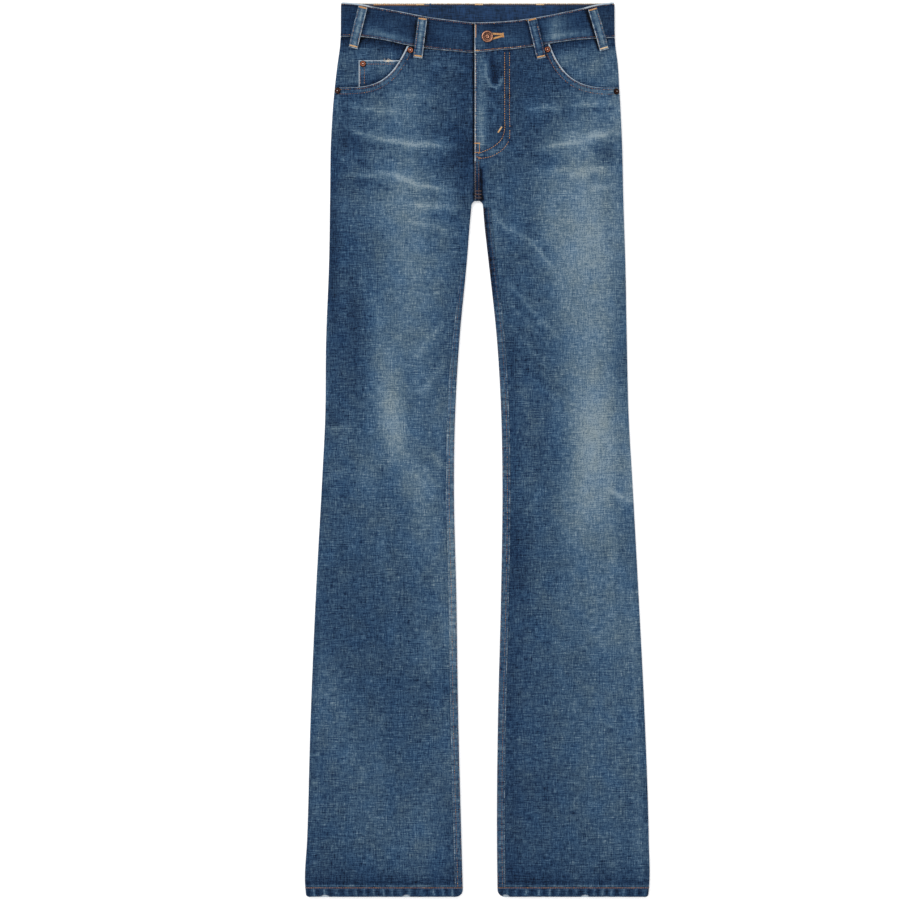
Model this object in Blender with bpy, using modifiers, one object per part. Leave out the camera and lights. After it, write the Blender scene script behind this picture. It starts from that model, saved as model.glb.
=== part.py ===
"""Slim fit five-pocket jeans with a widening leg, laid flat on their back.

The waist points to +Y, the front faces up, and the wearer's right side is at -X.
Sizes are in millimetres, and MM turns them into Blender's metres. A place on the
garment is given as across (X) and down, which is measured from the top edge of the
back waistband towards the hems. Heights are above the surface the garment lies on.
"""

import math

import bmesh
import bpy
import numpy as np
from mathutils import Vector

MM = 0.001
RIGHT = -1                  # the wearer's right, at -X
LEFT = 1
SIDE_NAMES = {RIGHT: "right", LEFT: "left"}

# ---- driving sizes ----
LENGTH = 1160.0             # back waistband to hem
CLOTH = 1.2                 # panel wall, a denim panel with its turned edges
GAP = 0.3                   # between neighbouring pieces
SEAM_STEP = 0.3             # upright start of a rounded edge
FRONT_ROUND = 6.0           # how far in the front's side edges are rounded
BACK_ROUND = 4.0
FACING_ROUND = 4.5
BACK_LIFT = 1.5             # the seat lies on its pockets and belt loops
LIFT_ENDS = (262.0, 310.0)  # down, where the seat's lift runs out

BAND_WALL = 2.4
BAND_TOP = 8.7              # outer face of the front waistband
BAND_ROUND = (BAND_TOP - BACK_LIFT) / 2
FLAP_BAND_TOP = 9.3         # left end of the waistband, on top
UNDER_BAND_TOP = 6.6        # right end, underneath
UNDERLAP_END = 28.0         # across
BAND_SIDE_BOTTOM = {RIGHT: 41.8, LEFT: 43.2}

ARCH_TOP = 254.5            # down, top of the gap between the legs
ARCH_RADIUS = 7.5
ARCH_CENTRE = ARCH_TOP + ARCH_RADIUS

POCKET_END = 108.0          # down, where the opening meets the side seam
POCKET_TUCK = 8.0           # facing hidden behind the front panel
FACING_WALL = 1.0
FACING_DROP = 1.5           # facing's face below the front panel's face
COIN_WALL = 0.9
COIN_EDGE = 154.1           # outward, the coin pocket's upright edge
COIN_TOP = 72.3
COIN_EXTRA_DROP = COIN_WALL + GAP

FLY_RISE = 1.1              # the flap stands this much prouder
FLY_REACH = 46.6            # flap width from its free edge
FLY_STRAIGHT = 164.0        # down, where the flap's outline starts to curve
FLY_CURVE = 39.0            # length of that curve
FLY_SLOPE = 6.0
FLY_DIP = 0.6               # right front sinks under the flap's edge

INSEAM_WIDTH = 10.0
INSEAM_INSET = 1.0
STRIP_WALL = 1.0
INSEAM_START = {RIGHT: 348.0, LEFT: 264.0}
RISE_SEAM = (204.0, 247.0)  # down, the front rise seam that shows
RISE_SEAM_WIDTH = 7.0

HEM_HEIGHT = 13.0
HEM_WALL = 2.4
HEM_TOP = 7.0
HEM_CORNER = {"inner": 9.0, "outer": 3.0}

LOOP_WIDTH = 12.0
LOOP_WALL = 1.5
BACK_LOOP_WALL = BACK_LIFT - GAP
BACK_LOOP_LENGTH = 53.5

BUTTON_PLACE = (13.1, 42.2)
SLIDER_SIZE = (8.0, 9.0, 2.0)
RIVET_RADIUS = 4.2
SIDE_RIVET_TILT = math.radians(22)

# ---- tables ----
SIDE_SEAMS = (
    # down, right, left: how far out each side seam lies
    (0, 177.1, 178.4),
    (59, 179.1, 180.4),
    (72, 181.0, 182.3),
    (111, 185.6, 184.9),
    (176, 190.1, 188.2),
    (254, 191.4, 190.1),
    (332, 192.7, 192.7),
    (436, 196.6, 194.7),
    (540, 197.9, 197.3),
    (618, 201.8, 201.8),
    (774, 210.3, 210.3),
    (930, 216.8, 218.1),
    (1086, 221.3, 223.3),
    (1145, 223.9, 223.9),
    (1160, 222.6, 222.6),
)
INNER_LEGS = (
    # down, right, left: how far out each leg's inner edge lies
    (ARCH_CENTRE, 7.5, 7.5),
    (280, 9.2, 8.9),
    (332, 13.3, 14.6),
    (436, 23.1, 25.7),
    (540, 28.9, 31.5),
    (618, 30.2, 32.8),
    (774, 27.0, 30.9),
    (930, 24.6, 27.0),
    (1086, 20.5, 25.7),
    (1160, 18.5, 26.5),
)
FRONT_BAND = (
    # across, top edge, bottom edge of the front waistband, down
    (-178, 0.0, 41.8),
    (-146, 1.9, 42.4),
    (-117, 6.3, 47.0),
    (-88, 11.7, 53.3),
    (-63, 16.5, 57.2),
    (-37, 20.0, 60.1),
    (-4, 23.4, 62.4),
    (27, 22.7, 59.5),
    (54, 20.2, 57.0),
    (74, 17.4, 54.0),
    (90, 14.7, 51.4),
    (125, 7.5, 46.4),
    (150, 3.0, 44.4),
    (179, 0.0, 43.2),
)
CENTRE_FRONT = (
    # down, across
    (0, -3.6),
    (160, -3.6),
    (205, -1.6),
    (254, 0.0),
)
TOP_HEIGHTS = (
    # down, height of the front's outer face
    (40, 7.4),
    (262, 7.1),
    (310, 6.0),
    (450, 5.9),
    (700, 5.7),
    (1000, 5.8),
    (1147, 6.1),
)
POCKET_MOUTHS = {
    # Bezier points of the opening: outward, down
    RIGHT: ((91.3, 54.0), (115.0, 105.0), (135.0, 109.0), (185.3, POCKET_END)),
    LEFT: ((94.0, 51.2), (112.0, 100.0), (137.0, 111.0), (184.7, POCKET_END)),
}
FOLDS = (
    # across, down at one end; across, down at the other; half width; rise
    (-184, 160, -30, 183, 9, 0.30),
    (-184, 178, -60, 200, 10, -0.55),
    (-184, 221, -24, 246, 9, 0.30),
    (-150, 243, -40, 262, 8, -0.50),
    (-105, 262, -30, 296, 8, 0.30),
    (66, 186, 184, 165, 9, 0.30),
    (70, 203, 184, 196, 10, -0.50),
    (66, 219, 184, 217, 9, 0.30),
    (18, 274, 108, 354, 9, 0.30),
    (30, 300, 100, 372, 9, -0.60),
    (34, 354, 112, 440, 9, 0.30),
    (38, 384, 100, 462, 9, -0.60),
    (42, 416, 98, 482, 9, 0.30),
    (-42, 410, -88, 466, 9, 0.30),
    (-44, 462, -78, 512, 9, -0.50),
    (-190, 544, -150, 550, 9, -0.80),
    (-192, 612, -160, 602, 9, -0.60),
    (-90, 600, -44, 656, 9, -0.60),
    (52, 620, 86, 590, 9, -0.50),
    (196, 560, 168, 552, 8, -0.60),
    (198, 644, 160, 628, 9, -0.60),
)
BELT_LOOPS = (
    # front: across, down at the top; across, down at the bottom
    (-148.5, 3.4, -161.5, 56.6),
    (-71.0, 18.2, -77.3, 69.6),
    (71.2, 18.9, 83.5, 70.2),
    (149.8, 5.9, 165.4, 59.2),
)
LOOP_ARCH = (
    # share of the length, height of the underside above the waistband
    (0.0, 0.3),
    (0.1, 0.4),
    (0.4, 1.2),
    (0.72, 0.8),
)
BACK_LOOP_PLACES = (-74.4, 2.3, 81.6)
BACK_POCKET = (
    # outward from the pocket's middle, down from its top
    (-70, 0),
    (70, 0),
    (61, 112),
    (0, 137),
    (-61, 112),
)
BACK_POCKET_MIDDLE = 94.0
BACK_POCKET_TOP = 104.0
RIVETS = (
    # across, down, drop below the front's face, tilt
    (-87.0, 59.4, 0.0, 0.0),
    (-148.5, 77.0, FACING_DROP, 0.0),
    (-181.3, 112.2, 0.0, -SIDE_RIVET_TILT),
    (91.3, 58.6, 0.0, 0.0),
    (180.9, 113.1, 0.0, SIDE_RIVET_TILT),
)
RIVET_PROFILE = (
    # out, up, from the top down
    (0.0, 1.7),
    (1.1, 1.5),
    (1.6, 1.0),
    (2.6, 1.2),
    (4.2, 0.5),
    (4.2, 0.0),
    (0.0, 0.0),
)
BUTTON_PROFILE = (
    (0.0, 2.4),
    (2.2, 2.4),
    (2.8, 2.0),
    (3.6, 2.5),
    (5.8, 2.6),
    (7.1, 2.1),
    (7.5, 1.5),
    (7.0, 0.9),
    (3.4, 0.6),
    (3.2, 0.0),
    (0.0, 0.0),
)

MATERIALS = {
    # name: linear colour, roughness, metallic
    "denim": ((0.067, 0.117, 0.190), 0.9, 0.0),
    "denim_dark": ((0.028, 0.056, 0.105), 0.9, 0.0),
    "copper": ((0.35, 0.14, 0.09), 0.4, 1.0),
    "zip_brass": ((0.45, 0.33, 0.14), 0.4, 1.0),
    "zip_tape": ((0.02, 0.03, 0.05), 0.9, 0.0),
}


# ---- the garment's form ----
def curve_through(rows, column):
    """A smooth function of a table's first column, through another column's values."""
    table = np.array(rows, dtype=float)
    stations = table[:, 0]
    values = table[:, column]
    slopes = np.gradient(values, stations)

    def read(at):
        at = np.clip(at, stations[0], stations[-1])
        k = np.clip(np.searchsorted(stations, at) - 1, 0, len(stations) - 2)
        step = stations[k + 1] - stations[k]
        t = (at - stations[k]) / step
        ease = t * t * (3 - 2 * t)
        lean = t * (1 - t) ** 2 * slopes[k] - t * t * (1 - t) * slopes[k + 1]
        return values[k] + (values[k + 1] - values[k]) * ease + step * lean

    return read


side_reach = {RIGHT: curve_through(SIDE_SEAMS, 1), LEFT: curve_through(SIDE_SEAMS, 2)}
inner_reach = {RIGHT: curve_through(INNER_LEGS, 1), LEFT: curve_through(INNER_LEGS, 2)}
band_top_edge = curve_through(FRONT_BAND, 1)
band_bottom_edge = curve_through(FRONT_BAND, 2)
centre_front = curve_through(CENTRE_FRONT, 1)
top_height = curve_through(TOP_HEIGHTS, 1)
loop_arch = curve_through(LOOP_ARCH, 1)


def ease(t):
    """0 to 1 with soft ends."""
    t = np.clip(t, 0, 1)
    return t * t * (3 - 2 * t)


def edge_round(share):
    """A quarter round: 0 at the edge, 1 once share reaches 1."""
    share = np.clip(share, 0, 1)
    return np.sqrt(share * (2 - share))


def lift(down):
    """Height of the back's outer face, which rests on its pockets and loops at the seat."""
    return BACK_LIFT * (1 - ease((down - LIFT_ENDS[0]) / (LIFT_ENDS[1] - LIFT_ENDS[0])))


def seam_height(down):
    """Height at which front and back meet along the side seams and inseams."""
    drop = FACING_DROP * (1 - ease((down - POCKET_END) / 20))
    return (lift(down) + top_height(down) - drop) / 2


def edge_distance(side, across, down):
    """How far a place is from the garment's outline, at its side or between the legs."""
    from_side = side_reach[side](down) - side * across
    arch = np.hypot(across, np.minimum(down - ARCH_CENTRE, 0)) - ARCH_RADIUS
    leg = side * across - inner_reach[side](down)
    between = np.where(down < ARCH_CENTRE, arch, leg)
    return np.maximum(np.minimum(from_side, between), 0)


def fold_height(across, down):
    """The largest creases, as soft ridges and troughs."""
    total = 0.0
    for across_0, down_0, across_1, down_1, half_width, rise in FOLDS:
        run = (across_1 - across_0, down_1 - down_0)
        along = ((across - across_0) * run[0] + (down - down_0) * run[1]) / (run[0] ** 2 + run[1] ** 2)
        along = np.clip(along, 0, 1)
        off = np.hypot(across - across_0 - along * run[0], down - down_0 - along * run[1])
        taper = np.clip(6 * along * (1 - along), 0, 1)
        total = total + rise * taper * np.exp(-(off / half_width) ** 2)
    return total


def fly_height(side, across, down):
    """The flap over the fly on the left front, and the dip beside it on the right front."""
    out = across - centre_front(down)
    below = np.maximum(down - FLY_STRAIGHT, 0)
    if side == RIGHT:
        return -FLY_DIP * np.exp(-(out / 9) ** 2) * (1 - ease(below / FLY_CURVE))
    curve = np.sqrt((out / FLY_REACH) ** 2 + (below / FLY_CURVE) ** 2)
    inside = (1 - curve) * FLY_REACH
    return FLY_RISE * ease(inside / FLY_SLOPE)


def front_height(side, across, down, reach=FRONT_ROUND):
    """Height of the front panel's outer face."""
    distance = edge_distance(side, across, down)
    top = top_height(down) + fold_height(across, down) * ease(distance / 25)
    top = top + fly_height(side, across, down)
    start = seam_height(down) + GAP / 2 + SEAM_STEP
    return start + (top - start) * edge_round(distance / reach)


def back_height(side, across, down):
    """Height of the back panel's outer face, which looks down."""
    distance = edge_distance(side, across, down)
    start = seam_height(down) - GAP / 2 - SEAM_STEP
    return start + (lift(down) - start) * edge_round(distance / BACK_ROUND)


def facing_height(side, across, down):
    """Height of the pocket facing's outer face, lower where the coin pocket lies on it."""
    distance = edge_distance(side, across, down)
    drop = FACING_DROP + 0 * across
    if side == RIGHT:
        drop = drop + COIN_EXTRA_DROP * ease((distance - 10) / 14)
    start = seam_height(down) + GAP / 2 + SEAM_STEP
    return start + (top_height(down) - drop - start) * edge_round(distance / FACING_ROUND)


def pocket_mouth(side, t):
    """A point of the pocket opening and its direction: outward, down, for t from 0 to 1."""
    p = np.array(POCKET_MOUTHS[side])
    point = ((1 - t) ** 3 * p[0] + 3 * t * (1 - t) ** 2 * p[1]
             + 3 * t * t * (1 - t) * p[2] + t ** 3 * p[3])
    way = (3 * (1 - t) ** 2 * (p[1] - p[0]) + 6 * t * (1 - t) * (p[2] - p[1])
           + 3 * t * t * (p[3] - p[2]))
    return point, way / np.hypot(*way)


def lies_on(height, side, across, down, above):
    """Points moved out from a surface along its normal, as across, down, height."""
    step = 0.2
    rise_x = (height(side, across + step, down) - height(side, across - step, down)) / (2 * step)
    rise_d = (height(side, across, down + step) - height(side, across, down - step)) / (2 * step)
    size = np.sqrt(rise_x ** 2 + rise_d ** 2 + 1)
    return (across - above * rise_x / size, down - above * rise_d / size,
            height(side, across, down) + above / size)


# ---- making meshes ----
def world(across, down, height):
    """A place on the garment as a point in metres."""
    return Vector((across * MM, (LENGTH / 2 - down) * MM, height * MM))


def make_material(name):
    colour, roughness, metallic = MATERIALS[name]
    material = bpy.data.materials.new(name)
    material.use_nodes = True
    shader = material.node_tree.nodes["Principled BSDF"]
    shader.inputs["Base Color"].default_value = (*colour, 1)
    shader.inputs["Roughness"].default_value = roughness
    shader.inputs["Metallic"].default_value = metallic
    return material


def add_object(name, mesh, slot):
    """An object of its own with its own material, in the garment's collection."""
    thing = bpy.data.objects.new(name, mesh)
    material = materials[slot].copy()
    material.name = name
    mesh.materials.append(material)
    garment.objects.link(thing)
    thing.parent = origin
    return thing


def add_wall(name, grid, wall, slot, looks=1, column=None, ring=False):
    """Cloth through a grid of points (across, down, height), thickened away from its face.

    looks is 1 where the grid's face in that column looks up and -1 where it looks down,
    and the column is the middle one unless it is given.
    """
    across, down, height = (np.asarray(part, dtype=float) for part in grid)
    rows, columns = across.shape
    corners = [world(across[i, j], down[i, j], height[i, j]) for i in range(rows) for j in range(columns)]
    faces = []
    for i in range(rows - 1):
        for j in range(columns if ring else columns - 1):
            k = (j + 1) % columns
            faces.append((i * columns + j, (i + 1) * columns + j, (i + 1) * columns + k, i * columns + k))
    first = [corners[index] for index in faces[columns // 2 if column is None else column]]
    normal = (first[2] - first[0]).cross(first[3] - first[1])
    if normal.z * looks < 0:
        faces = [face[::-1] for face in faces]
    mesh = bpy.data.meshes.new(name)
    mesh.from_pydata(corners, [], faces)
    thing = add_object(name, mesh, slot)
    solidify = thing.modifiers.new("wall", "SOLIDIFY")
    solidify.thickness = wall * MM
    solidify.offset = -1
    return thing


def add_turned(name, profile, steps, slot):
    """A turned piece from a profile of (out, up) points."""
    mesh = bpy.data.meshes.new(name)
    points = [(out * MM, 0, up * MM) for out, up in profile]
    mesh.from_pydata(points, [(k, k + 1) for k in range(len(points) - 1)], [])
    thing = add_object(name, mesh, slot)
    screw = thing.modifiers.new("turn", "SCREW")
    screw.steps = steps
    screw.render_steps = steps
    screw.use_merge_vertices = True
    screw.merge_threshold = 0.00001
    screw.use_smooth_shade = True
    return thing


def quarter(reach, parts):
    """Distances from an edge that share a quarter round into equal angles."""
    return [reach * (1 - math.cos(math.radians(90 * k / parts))) for k in range(parts + 1)]


# ---- panels ----
def row_points(outer, inner, places):
    """Points on the straight line between two ends, at distances from the outer one."""
    outer = np.array(outer)
    inner = np.array(inner)
    way = (inner - outer) / np.hypot(*(inner - outer))
    return outer[0] + way[0] * places, outer[1] + way[1] * places


def inner_end(side, down, centre):
    """Inner end of a panel's row: the centre seam, the arch, or the leg's inner edge."""
    if down <= ARCH_TOP:
        return centre + side * GAP / 2
    if down < ARCH_CENTRE:
        reach = ARCH_RADIUS * edge_round((down - ARCH_TOP) / ARCH_RADIUS)
    else:
        reach = inner_reach[side](down)
    return side * reach


def arch_stations():
    return [ARCH_TOP + step for step in quarter(ARCH_RADIUS, 4)]


FRONT_MOUTH_STEPS = (0, 0.14, 0.28, 0.42, 0.56, 0.7, 0.82, 0.91, 0.96, 0.985)
FRONT_ROWS_ABOVE = (150, 160, 172, 185, 196, 204, 212, 224, 237, 247, 252)
FRONT_ROWS_BELOW = (271, 283, 298, 316, 336, 358, 384, 412, 440, 468, 496, 524, 552, 582,
                    616, 660, 720, 800, 890, 980, 1070)
FRONT_SLANT = 42.0          # a row's inner end lies this much lower at the pocket


def front_row_ends(side):
    """Ends of the front panel's rows: outer (across, down), inner (across, down), open edges."""
    mouth_rows = []
    seat = FRONT_ROWS_ABOVE[0]
    start = band_bottom_edge(centre_front(60)) + GAP
    for t in FRONT_MOUTH_STEPS:
        point, _ = pocket_mouth(side, t)
        down = start + (seat - start) * t
        mouth_rows.append((side * point[0], point[1], down, False))
    seam_rows = []
    hem_edge = LENGTH - HEM_HEIGHT - GAP
    for down in (*FRONT_ROWS_ABOVE, *arch_stations(), *FRONT_ROWS_BELOW, hem_edge):
        fade = 1 - ease((down - seat) / (ARCH_CENTRE - seat))
        outer_down = down - FRONT_SLANT * fade
        seam_rows.append((side * side_reach[side](outer_down), outer_down, down, True))
    ends = []
    for across, outer_down, down, on_seam in mouth_rows + seam_rows:
        inner = inner_end(side, down, centre_front(down))
        ends.append(((across, outer_down), (inner, down), on_seam, down >= ARCH_TOP))
    return ends


def front_panel(side):
    """Front of one leg and half the front seat, cut away at the pocket opening."""
    edge = np.array(quarter(FRONT_ROUND, 4))
    near_fly = np.array((47.0, 39.0, 22.0))
    across_rows, down_rows, height_rows = [], [], []
    for outer, inner, on_seam, on_arch in front_row_ends(side):
        length = math.hypot(outer[0] - inner[0], outer[1] - inner[1])
        middle = np.linspace(FRONT_ROUND, length - near_fly[0], 8)[1:-1]
        first = 0.0 if on_seam else 0.2
        last = 0.0 if on_arch else 0.2
        places = np.concatenate(([0.0, first], edge[1:], middle, length - near_fly,
                                 length - edge[:0:-1], [length - last, length]))
        across, down = row_points(outer, inner, places)
        if not on_seam:
            sag = band_bottom_edge(across) - np.interp(across, *level(outer, inner, band_bottom_edge))
            down = down + sag * ease(1 - (inner[1] - 60) / 60)
        height = front_height(side, across, down)
        if on_seam:
            height[0] = height[1] - SEAM_STEP
        if on_arch:
            height[-1] = height[-2] - SEAM_STEP
        across_rows.append(across)
        down_rows.append(down)
        height_rows.append(height)
    name = "front_" + SIDE_NAMES[side]
    return add_wall(name, (across_rows, down_rows, height_rows), CLOTH, "denim")


def level(outer, inner, edge):
    """Ends of a straight line under a curved edge, in the order that np.interp needs."""
    ends = sorted((float(outer[0]), float(inner[0])))
    return ends, [float(edge(ends[0])), float(edge(ends[1]))]


BACK_ROWS_ABOVE = (100, 130, 160, 190, 220, 240, 248, 252)
BACK_ROWS_BELOW = (275, 295, 320, 360, 420, 490, 560, 640, 740, 860, 1000)
YOKE_SIDE = 75.0            # down, lower edge of the yoke at the side seam
YOKE_CENTRE = 100.0


def back_wall(name, side, rows):
    """A back panel or yoke through rows of (outer down, inner down)."""
    edge = np.array(quarter(BACK_ROUND, 3))
    across_rows, down_rows, height_rows = [], [], []
    for outer_down, down in rows:
        on_arch = down >= ARCH_TOP
        outer = (side * side_reach[side](outer_down), outer_down)
        inner = (inner_end(side, down, 0.0), down)
        length = math.hypot(outer[0] - inner[0], outer[1] - inner[1])
        middle = np.linspace(BACK_ROUND, length - BACK_ROUND, 6)[1:-1]
        last = 0.0 if on_arch else 0.2
        places = np.concatenate(([0.0, 0.0], edge[1:], middle,
                                 length - edge[:0:-1], [length - last, length]))
        across, down_points = row_points(outer, inner, places)
        height = back_height(side, across, down_points)
        height[0] = height[1] + SEAM_STEP
        if on_arch:
            height[-1] = height[-2] + SEAM_STEP
        across_rows.append(across)
        down_rows.append(down_points)
        height_rows.append(height)
    return add_wall(name, (across_rows, down_rows, height_rows), CLOTH, "denim", looks=-1)


def back_panel(side):
    rows = []
    hem_edge = LENGTH - HEM_HEIGHT - GAP
    for down in (*BACK_ROWS_ABOVE, *arch_stations(), *BACK_ROWS_BELOW, hem_edge):
        slant = (YOKE_CENTRE - YOKE_SIDE) * (1 - ease((down - YOKE_CENTRE) / 150))
        rows.append((down - slant, down))
    return back_wall("back_" + SIDE_NAMES[side], side, rows)


def yoke(side):
    """The slanted piece between the waistband and the back panel."""
    top_side = BAND_SIDE_BOTTOM[side] + GAP
    top_centre = (BAND_SIDE_BOTTOM[RIGHT] + BAND_SIDE_BOTTOM[LEFT]) / 2 + GAP
    rows = []
    for share in (0, 0.5, 1):
        rows.append((top_side + (YOKE_SIDE - GAP - top_side) * share,
                     top_centre + (YOKE_CENTRE - GAP - top_centre) * share))
    return back_wall("yoke_" + SIDE_NAMES[side], side, rows)


# ---- pocket pieces ----
def tuck_edge(side, outward):
    """Down position of the hidden edge of the facing, behind the front panel."""
    outs, downs = [], []
    for t in np.linspace(0, 1, 25):
        point, way = pocket_mouth(side, t)
        outs.append(point[0] - POCKET_TUCK * way[1])
        downs.append(point[1] + POCKET_TUCK * way[0])
    lowest = np.interp(outward, outs, downs)
    least = band_bottom_edge(side * outward) + 7
    from_side = side_reach[side](POCKET_END) - outward
    hidden = ease((from_side - FRONT_ROUND) / 4)
    visible = POCKET_END - 0.4
    return np.maximum(visible + (lowest - visible) * hidden, least)


def pocket_facing(side):
    """Denim that shows in the pocket opening, from the waistband and side seam inwards."""
    edge = np.array(quarter(FACING_ROUND, 4))
    width = side_reach[side](80) - POCKET_MOUTHS[side][0][0] + 7
    far = np.linspace(10, width, 9)
    inset = np.concatenate(([0.0, 0.0], edge[1:], [6.0], far))
    outward = side_reach[side](80) - inset
    top = band_bottom_edge(side * outward) + GAP
    bottom = tuck_edge(side, outward)
    share = np.linspace(0, 1, 6)[:, None]
    down = top + (bottom - top) * share
    across = side * (side_reach[side](down) - inset)
    height = facing_height(side, across, down)
    height[:, 0] = height[:, 1] - SEAM_STEP
    add_wall("pocket_facing_" + SIDE_NAMES[side], (across, down, height), FACING_WALL, "denim")


def coin_pocket():
    """Small pocket on the right facing, running down behind the front panel."""
    outward = np.linspace(COIN_EDGE, 93, 9)
    bottom = tuck_edge(RIGHT, outward) - 1
    share = np.linspace(0, 1, 5)[:, None]
    down = COIN_TOP + (bottom - COIN_TOP) * share
    across = -outward + 0 * down
    height = top_height(down) - FACING_DROP
    add_wall("coin_pocket", (across, down, height), COIN_WALL, "denim")


def back_pocket(side):
    """Patch pocket on the seat, flat on the surface that the garment lies on."""
    corners = [world(side * (BACK_POCKET_MIDDLE + out), BACK_POCKET_TOP + down, 0)
               for out, down in BACK_POCKET]
    mesh = bpy.data.meshes.new("back_pocket")
    order = range(len(corners)) if side == LEFT else reversed(range(len(corners)))
    mesh.from_pydata(corners, [], [tuple(order)])
    thing = add_object("back_pocket_" + SIDE_NAMES[side], mesh, "denim")
    solidify = thing.modifiers.new("wall", "SOLIDIFY")
    solidify.thickness = (BACK_LIFT - GAP) * MM
    solidify.offset = -1


# ---- waistband, seams and hems ----
def band_height(side, across):
    """Outer face of the front waistband, whose left end lies over its right end."""
    if side == RIGHT:
        return UNDER_BAND_TOP + (BAND_TOP - UNDER_BAND_TOP) * ease((-5 - across) / 17)
    return FLAP_BAND_TOP + (BAND_TOP - FLAP_BAND_TOP) * ease((across - 32) / 16)


BAND_STATIONS = {
    # across, from the front end to the side
    RIGHT: (UNDERLAP_END, 12, -5, -10, -16, -22, -37, -63, -88, -117, -146, -165),
    LEFT: (-3.6, 12, 27, 40, 54, 74, 90, 108, 125, 150, 165),
}
BAND_BACK_STATIONS = (-150, -75, 0, 75, 150)


def waistband():
    """One strip from its right end under the fly, round the back, to its left end on top."""
    share = np.linspace(0, 1, 4)
    middle = (BAND_TOP + BACK_LIFT) / 2
    columns = []

    def front_column(side, across):
        top = band_top_edge(across)
        down = top + (band_bottom_edge(across) - top) * share
        stretch = side_reach[side](down) / side_reach[side](0)
        columns.append((across * stretch, down, band_height(side, across) + 0 * down))

    def side_column(side, angle):
        down = BAND_SIDE_BOTTOM[side] * share
        out = side_reach[side](down) - BAND_ROUND * (1 - math.cos(angle))
        columns.append((side * out, down, middle + BAND_ROUND * math.sin(angle) + 0 * down))

    for across in BAND_STATIONS[RIGHT]:
        front_column(RIGHT, across)
    for degrees in range(90, -91, -30):
        side_column(RIGHT, math.radians(degrees))
    for across in BAND_BACK_STATIONS:
        bottom = np.interp(across, (-178, 179), (BAND_SIDE_BOTTOM[RIGHT], BAND_SIDE_BOTTOM[LEFT]))
        columns.append((across + 0 * share, bottom * share, BACK_LIFT + 0 * share))
    for degrees in range(-90, 91, 30):
        side_column(LEFT, math.radians(degrees))
    for across in reversed(BAND_STATIONS[LEFT]):
        front_column(LEFT, across)
    grid = np.array(columns).transpose(1, 2, 0)
    add_wall("waistband", grid, BAND_WALL, "denim_dark", column=0)


def inseam(side):
    """Felled inseam as a raised strip along the leg's inner edge."""
    stations = [down for down in (*FRONT_ROWS_BELOW, LENGTH - HEM_HEIGHT - GAP)
                if down > INSEAM_START[side] + 5]
    down = np.array([INSEAM_START[side], *stations])[:, None]
    inset = np.array((INSEAM_INSET, 2.6, 5.0, 8.0, INSEAM_INSET + INSEAM_WIDTH))
    across = side * (inner_reach[side](down) + inset)
    down = down + 0 * across
    grid = lies_on(front_height, side, across, down, GAP + STRIP_WALL)
    grid[1][-1, :] = LENGTH - HEM_HEIGHT - GAP
    add_wall("inseam_" + SIDE_NAMES[side], grid, STRIP_WALL, "denim")


def rise_seam():
    """Felled seam between the fly and the crotch, lying on the left front."""
    down = np.array([row for row in FRONT_ROWS_ABOVE if RISE_SEAM[0] <= row <= RISE_SEAM[1]])[:, None]
    inset = np.array((0.4, 2.5, 4.8, RISE_SEAM_WIDTH))
    across = centre_front(down) + inset
    down = down + 0 * across
    grid = lies_on(front_height, LEFT, across, down, GAP + STRIP_WALL)
    add_wall("rise_seam", grid, STRIP_WALL, "denim")


def hem(side):
    """Turned hem all round one leg's end, with rounded lower corners."""
    radius = HEM_TOP / 2
    top_edge = LENGTH - HEM_HEIGHT
    columns = []
    for down in (top_edge, top_edge + 4, top_edge + 8, top_edge + 11, LENGTH):
        inset = {}
        for corner, size in HEM_CORNER.items():
            share = 1 - (LENGTH - down) / size
            inset[corner] = size * (1 - math.sqrt(1 - max(share, 0) ** 2))
        outer = side_reach[side](down) - inset["outer"]
        inner = inner_reach[side](down) + inset["inner"]
        row = []
        for share in np.linspace(0, 1, 8):
            row.append((outer - radius + (inner - outer + 2 * radius) * share, HEM_TOP))
        for degrees in (60, 30, 0, -30, -60):
            angle = math.radians(degrees)
            row.append((inner + radius * (1 - math.cos(angle)), radius * (1 + math.sin(angle))))
        for share in np.linspace(1, 0, 4):
            row.append((outer - radius + (inner - outer + 2 * radius) * share, 0.0))
        for degrees in (-60, -30, 0, 30, 60):
            angle = math.radians(degrees)
            row.append((outer - radius * (1 - math.cos(angle)), radius * (1 + math.sin(angle))))
        columns.append([(side * outward, down, height) for outward, height in row])
    grid = np.array(columns).transpose(2, 0, 1)
    add_wall("hem_" + SIDE_NAMES[side], grid, HEM_WALL, "denim", column=0, ring=True)


# ---- loops and hardware ----
def front_loop(number, place, under):
    """Belt loop tacked at both ends and standing off the waistband between them."""
    across_0, down_0, across_1, down_1 = place
    share = np.array((0, 0.1, 0.25, 0.4, 0.56, 0.72, 0.8, 0.88, 1.0))[:, None]
    run = np.array((across_1 - across_0, down_1 - down_0))
    side_way = np.array((run[1], -run[0])) / np.hypot(*run)
    offset = np.array((-0.5, 0, 0.5)) * LOOP_WIDTH
    across = across_0 + run[0] * share + side_way[0] * offset
    down = down_0 + run[1] * share + side_way[1] * offset
    along = BAND_TOP + loop_arch(np.minimum(share, 0.72))
    fall = ease((share - 0.72) / 0.16)
    underside = along + (under + GAP - along) * fall
    height = underside + LOOP_WALL + 0 * across
    add_wall(f"belt_loop_{number}", (across, down, height), LOOP_WALL, "denim")


def back_loop(number, across_middle):
    """Belt loop under the back waistband, flat on the surface."""
    down = np.linspace(0.3, BACK_LOOP_LENGTH, 3)[:, None]
    across = across_middle + np.array((-0.5, 0.5)) * LOOP_WIDTH + 0 * down
    down = down + 0 * across
    add_wall(f"belt_loop_{number}", (across, down, 0 * down), BACK_LOOP_WALL, "denim", looks=-1)


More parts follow.
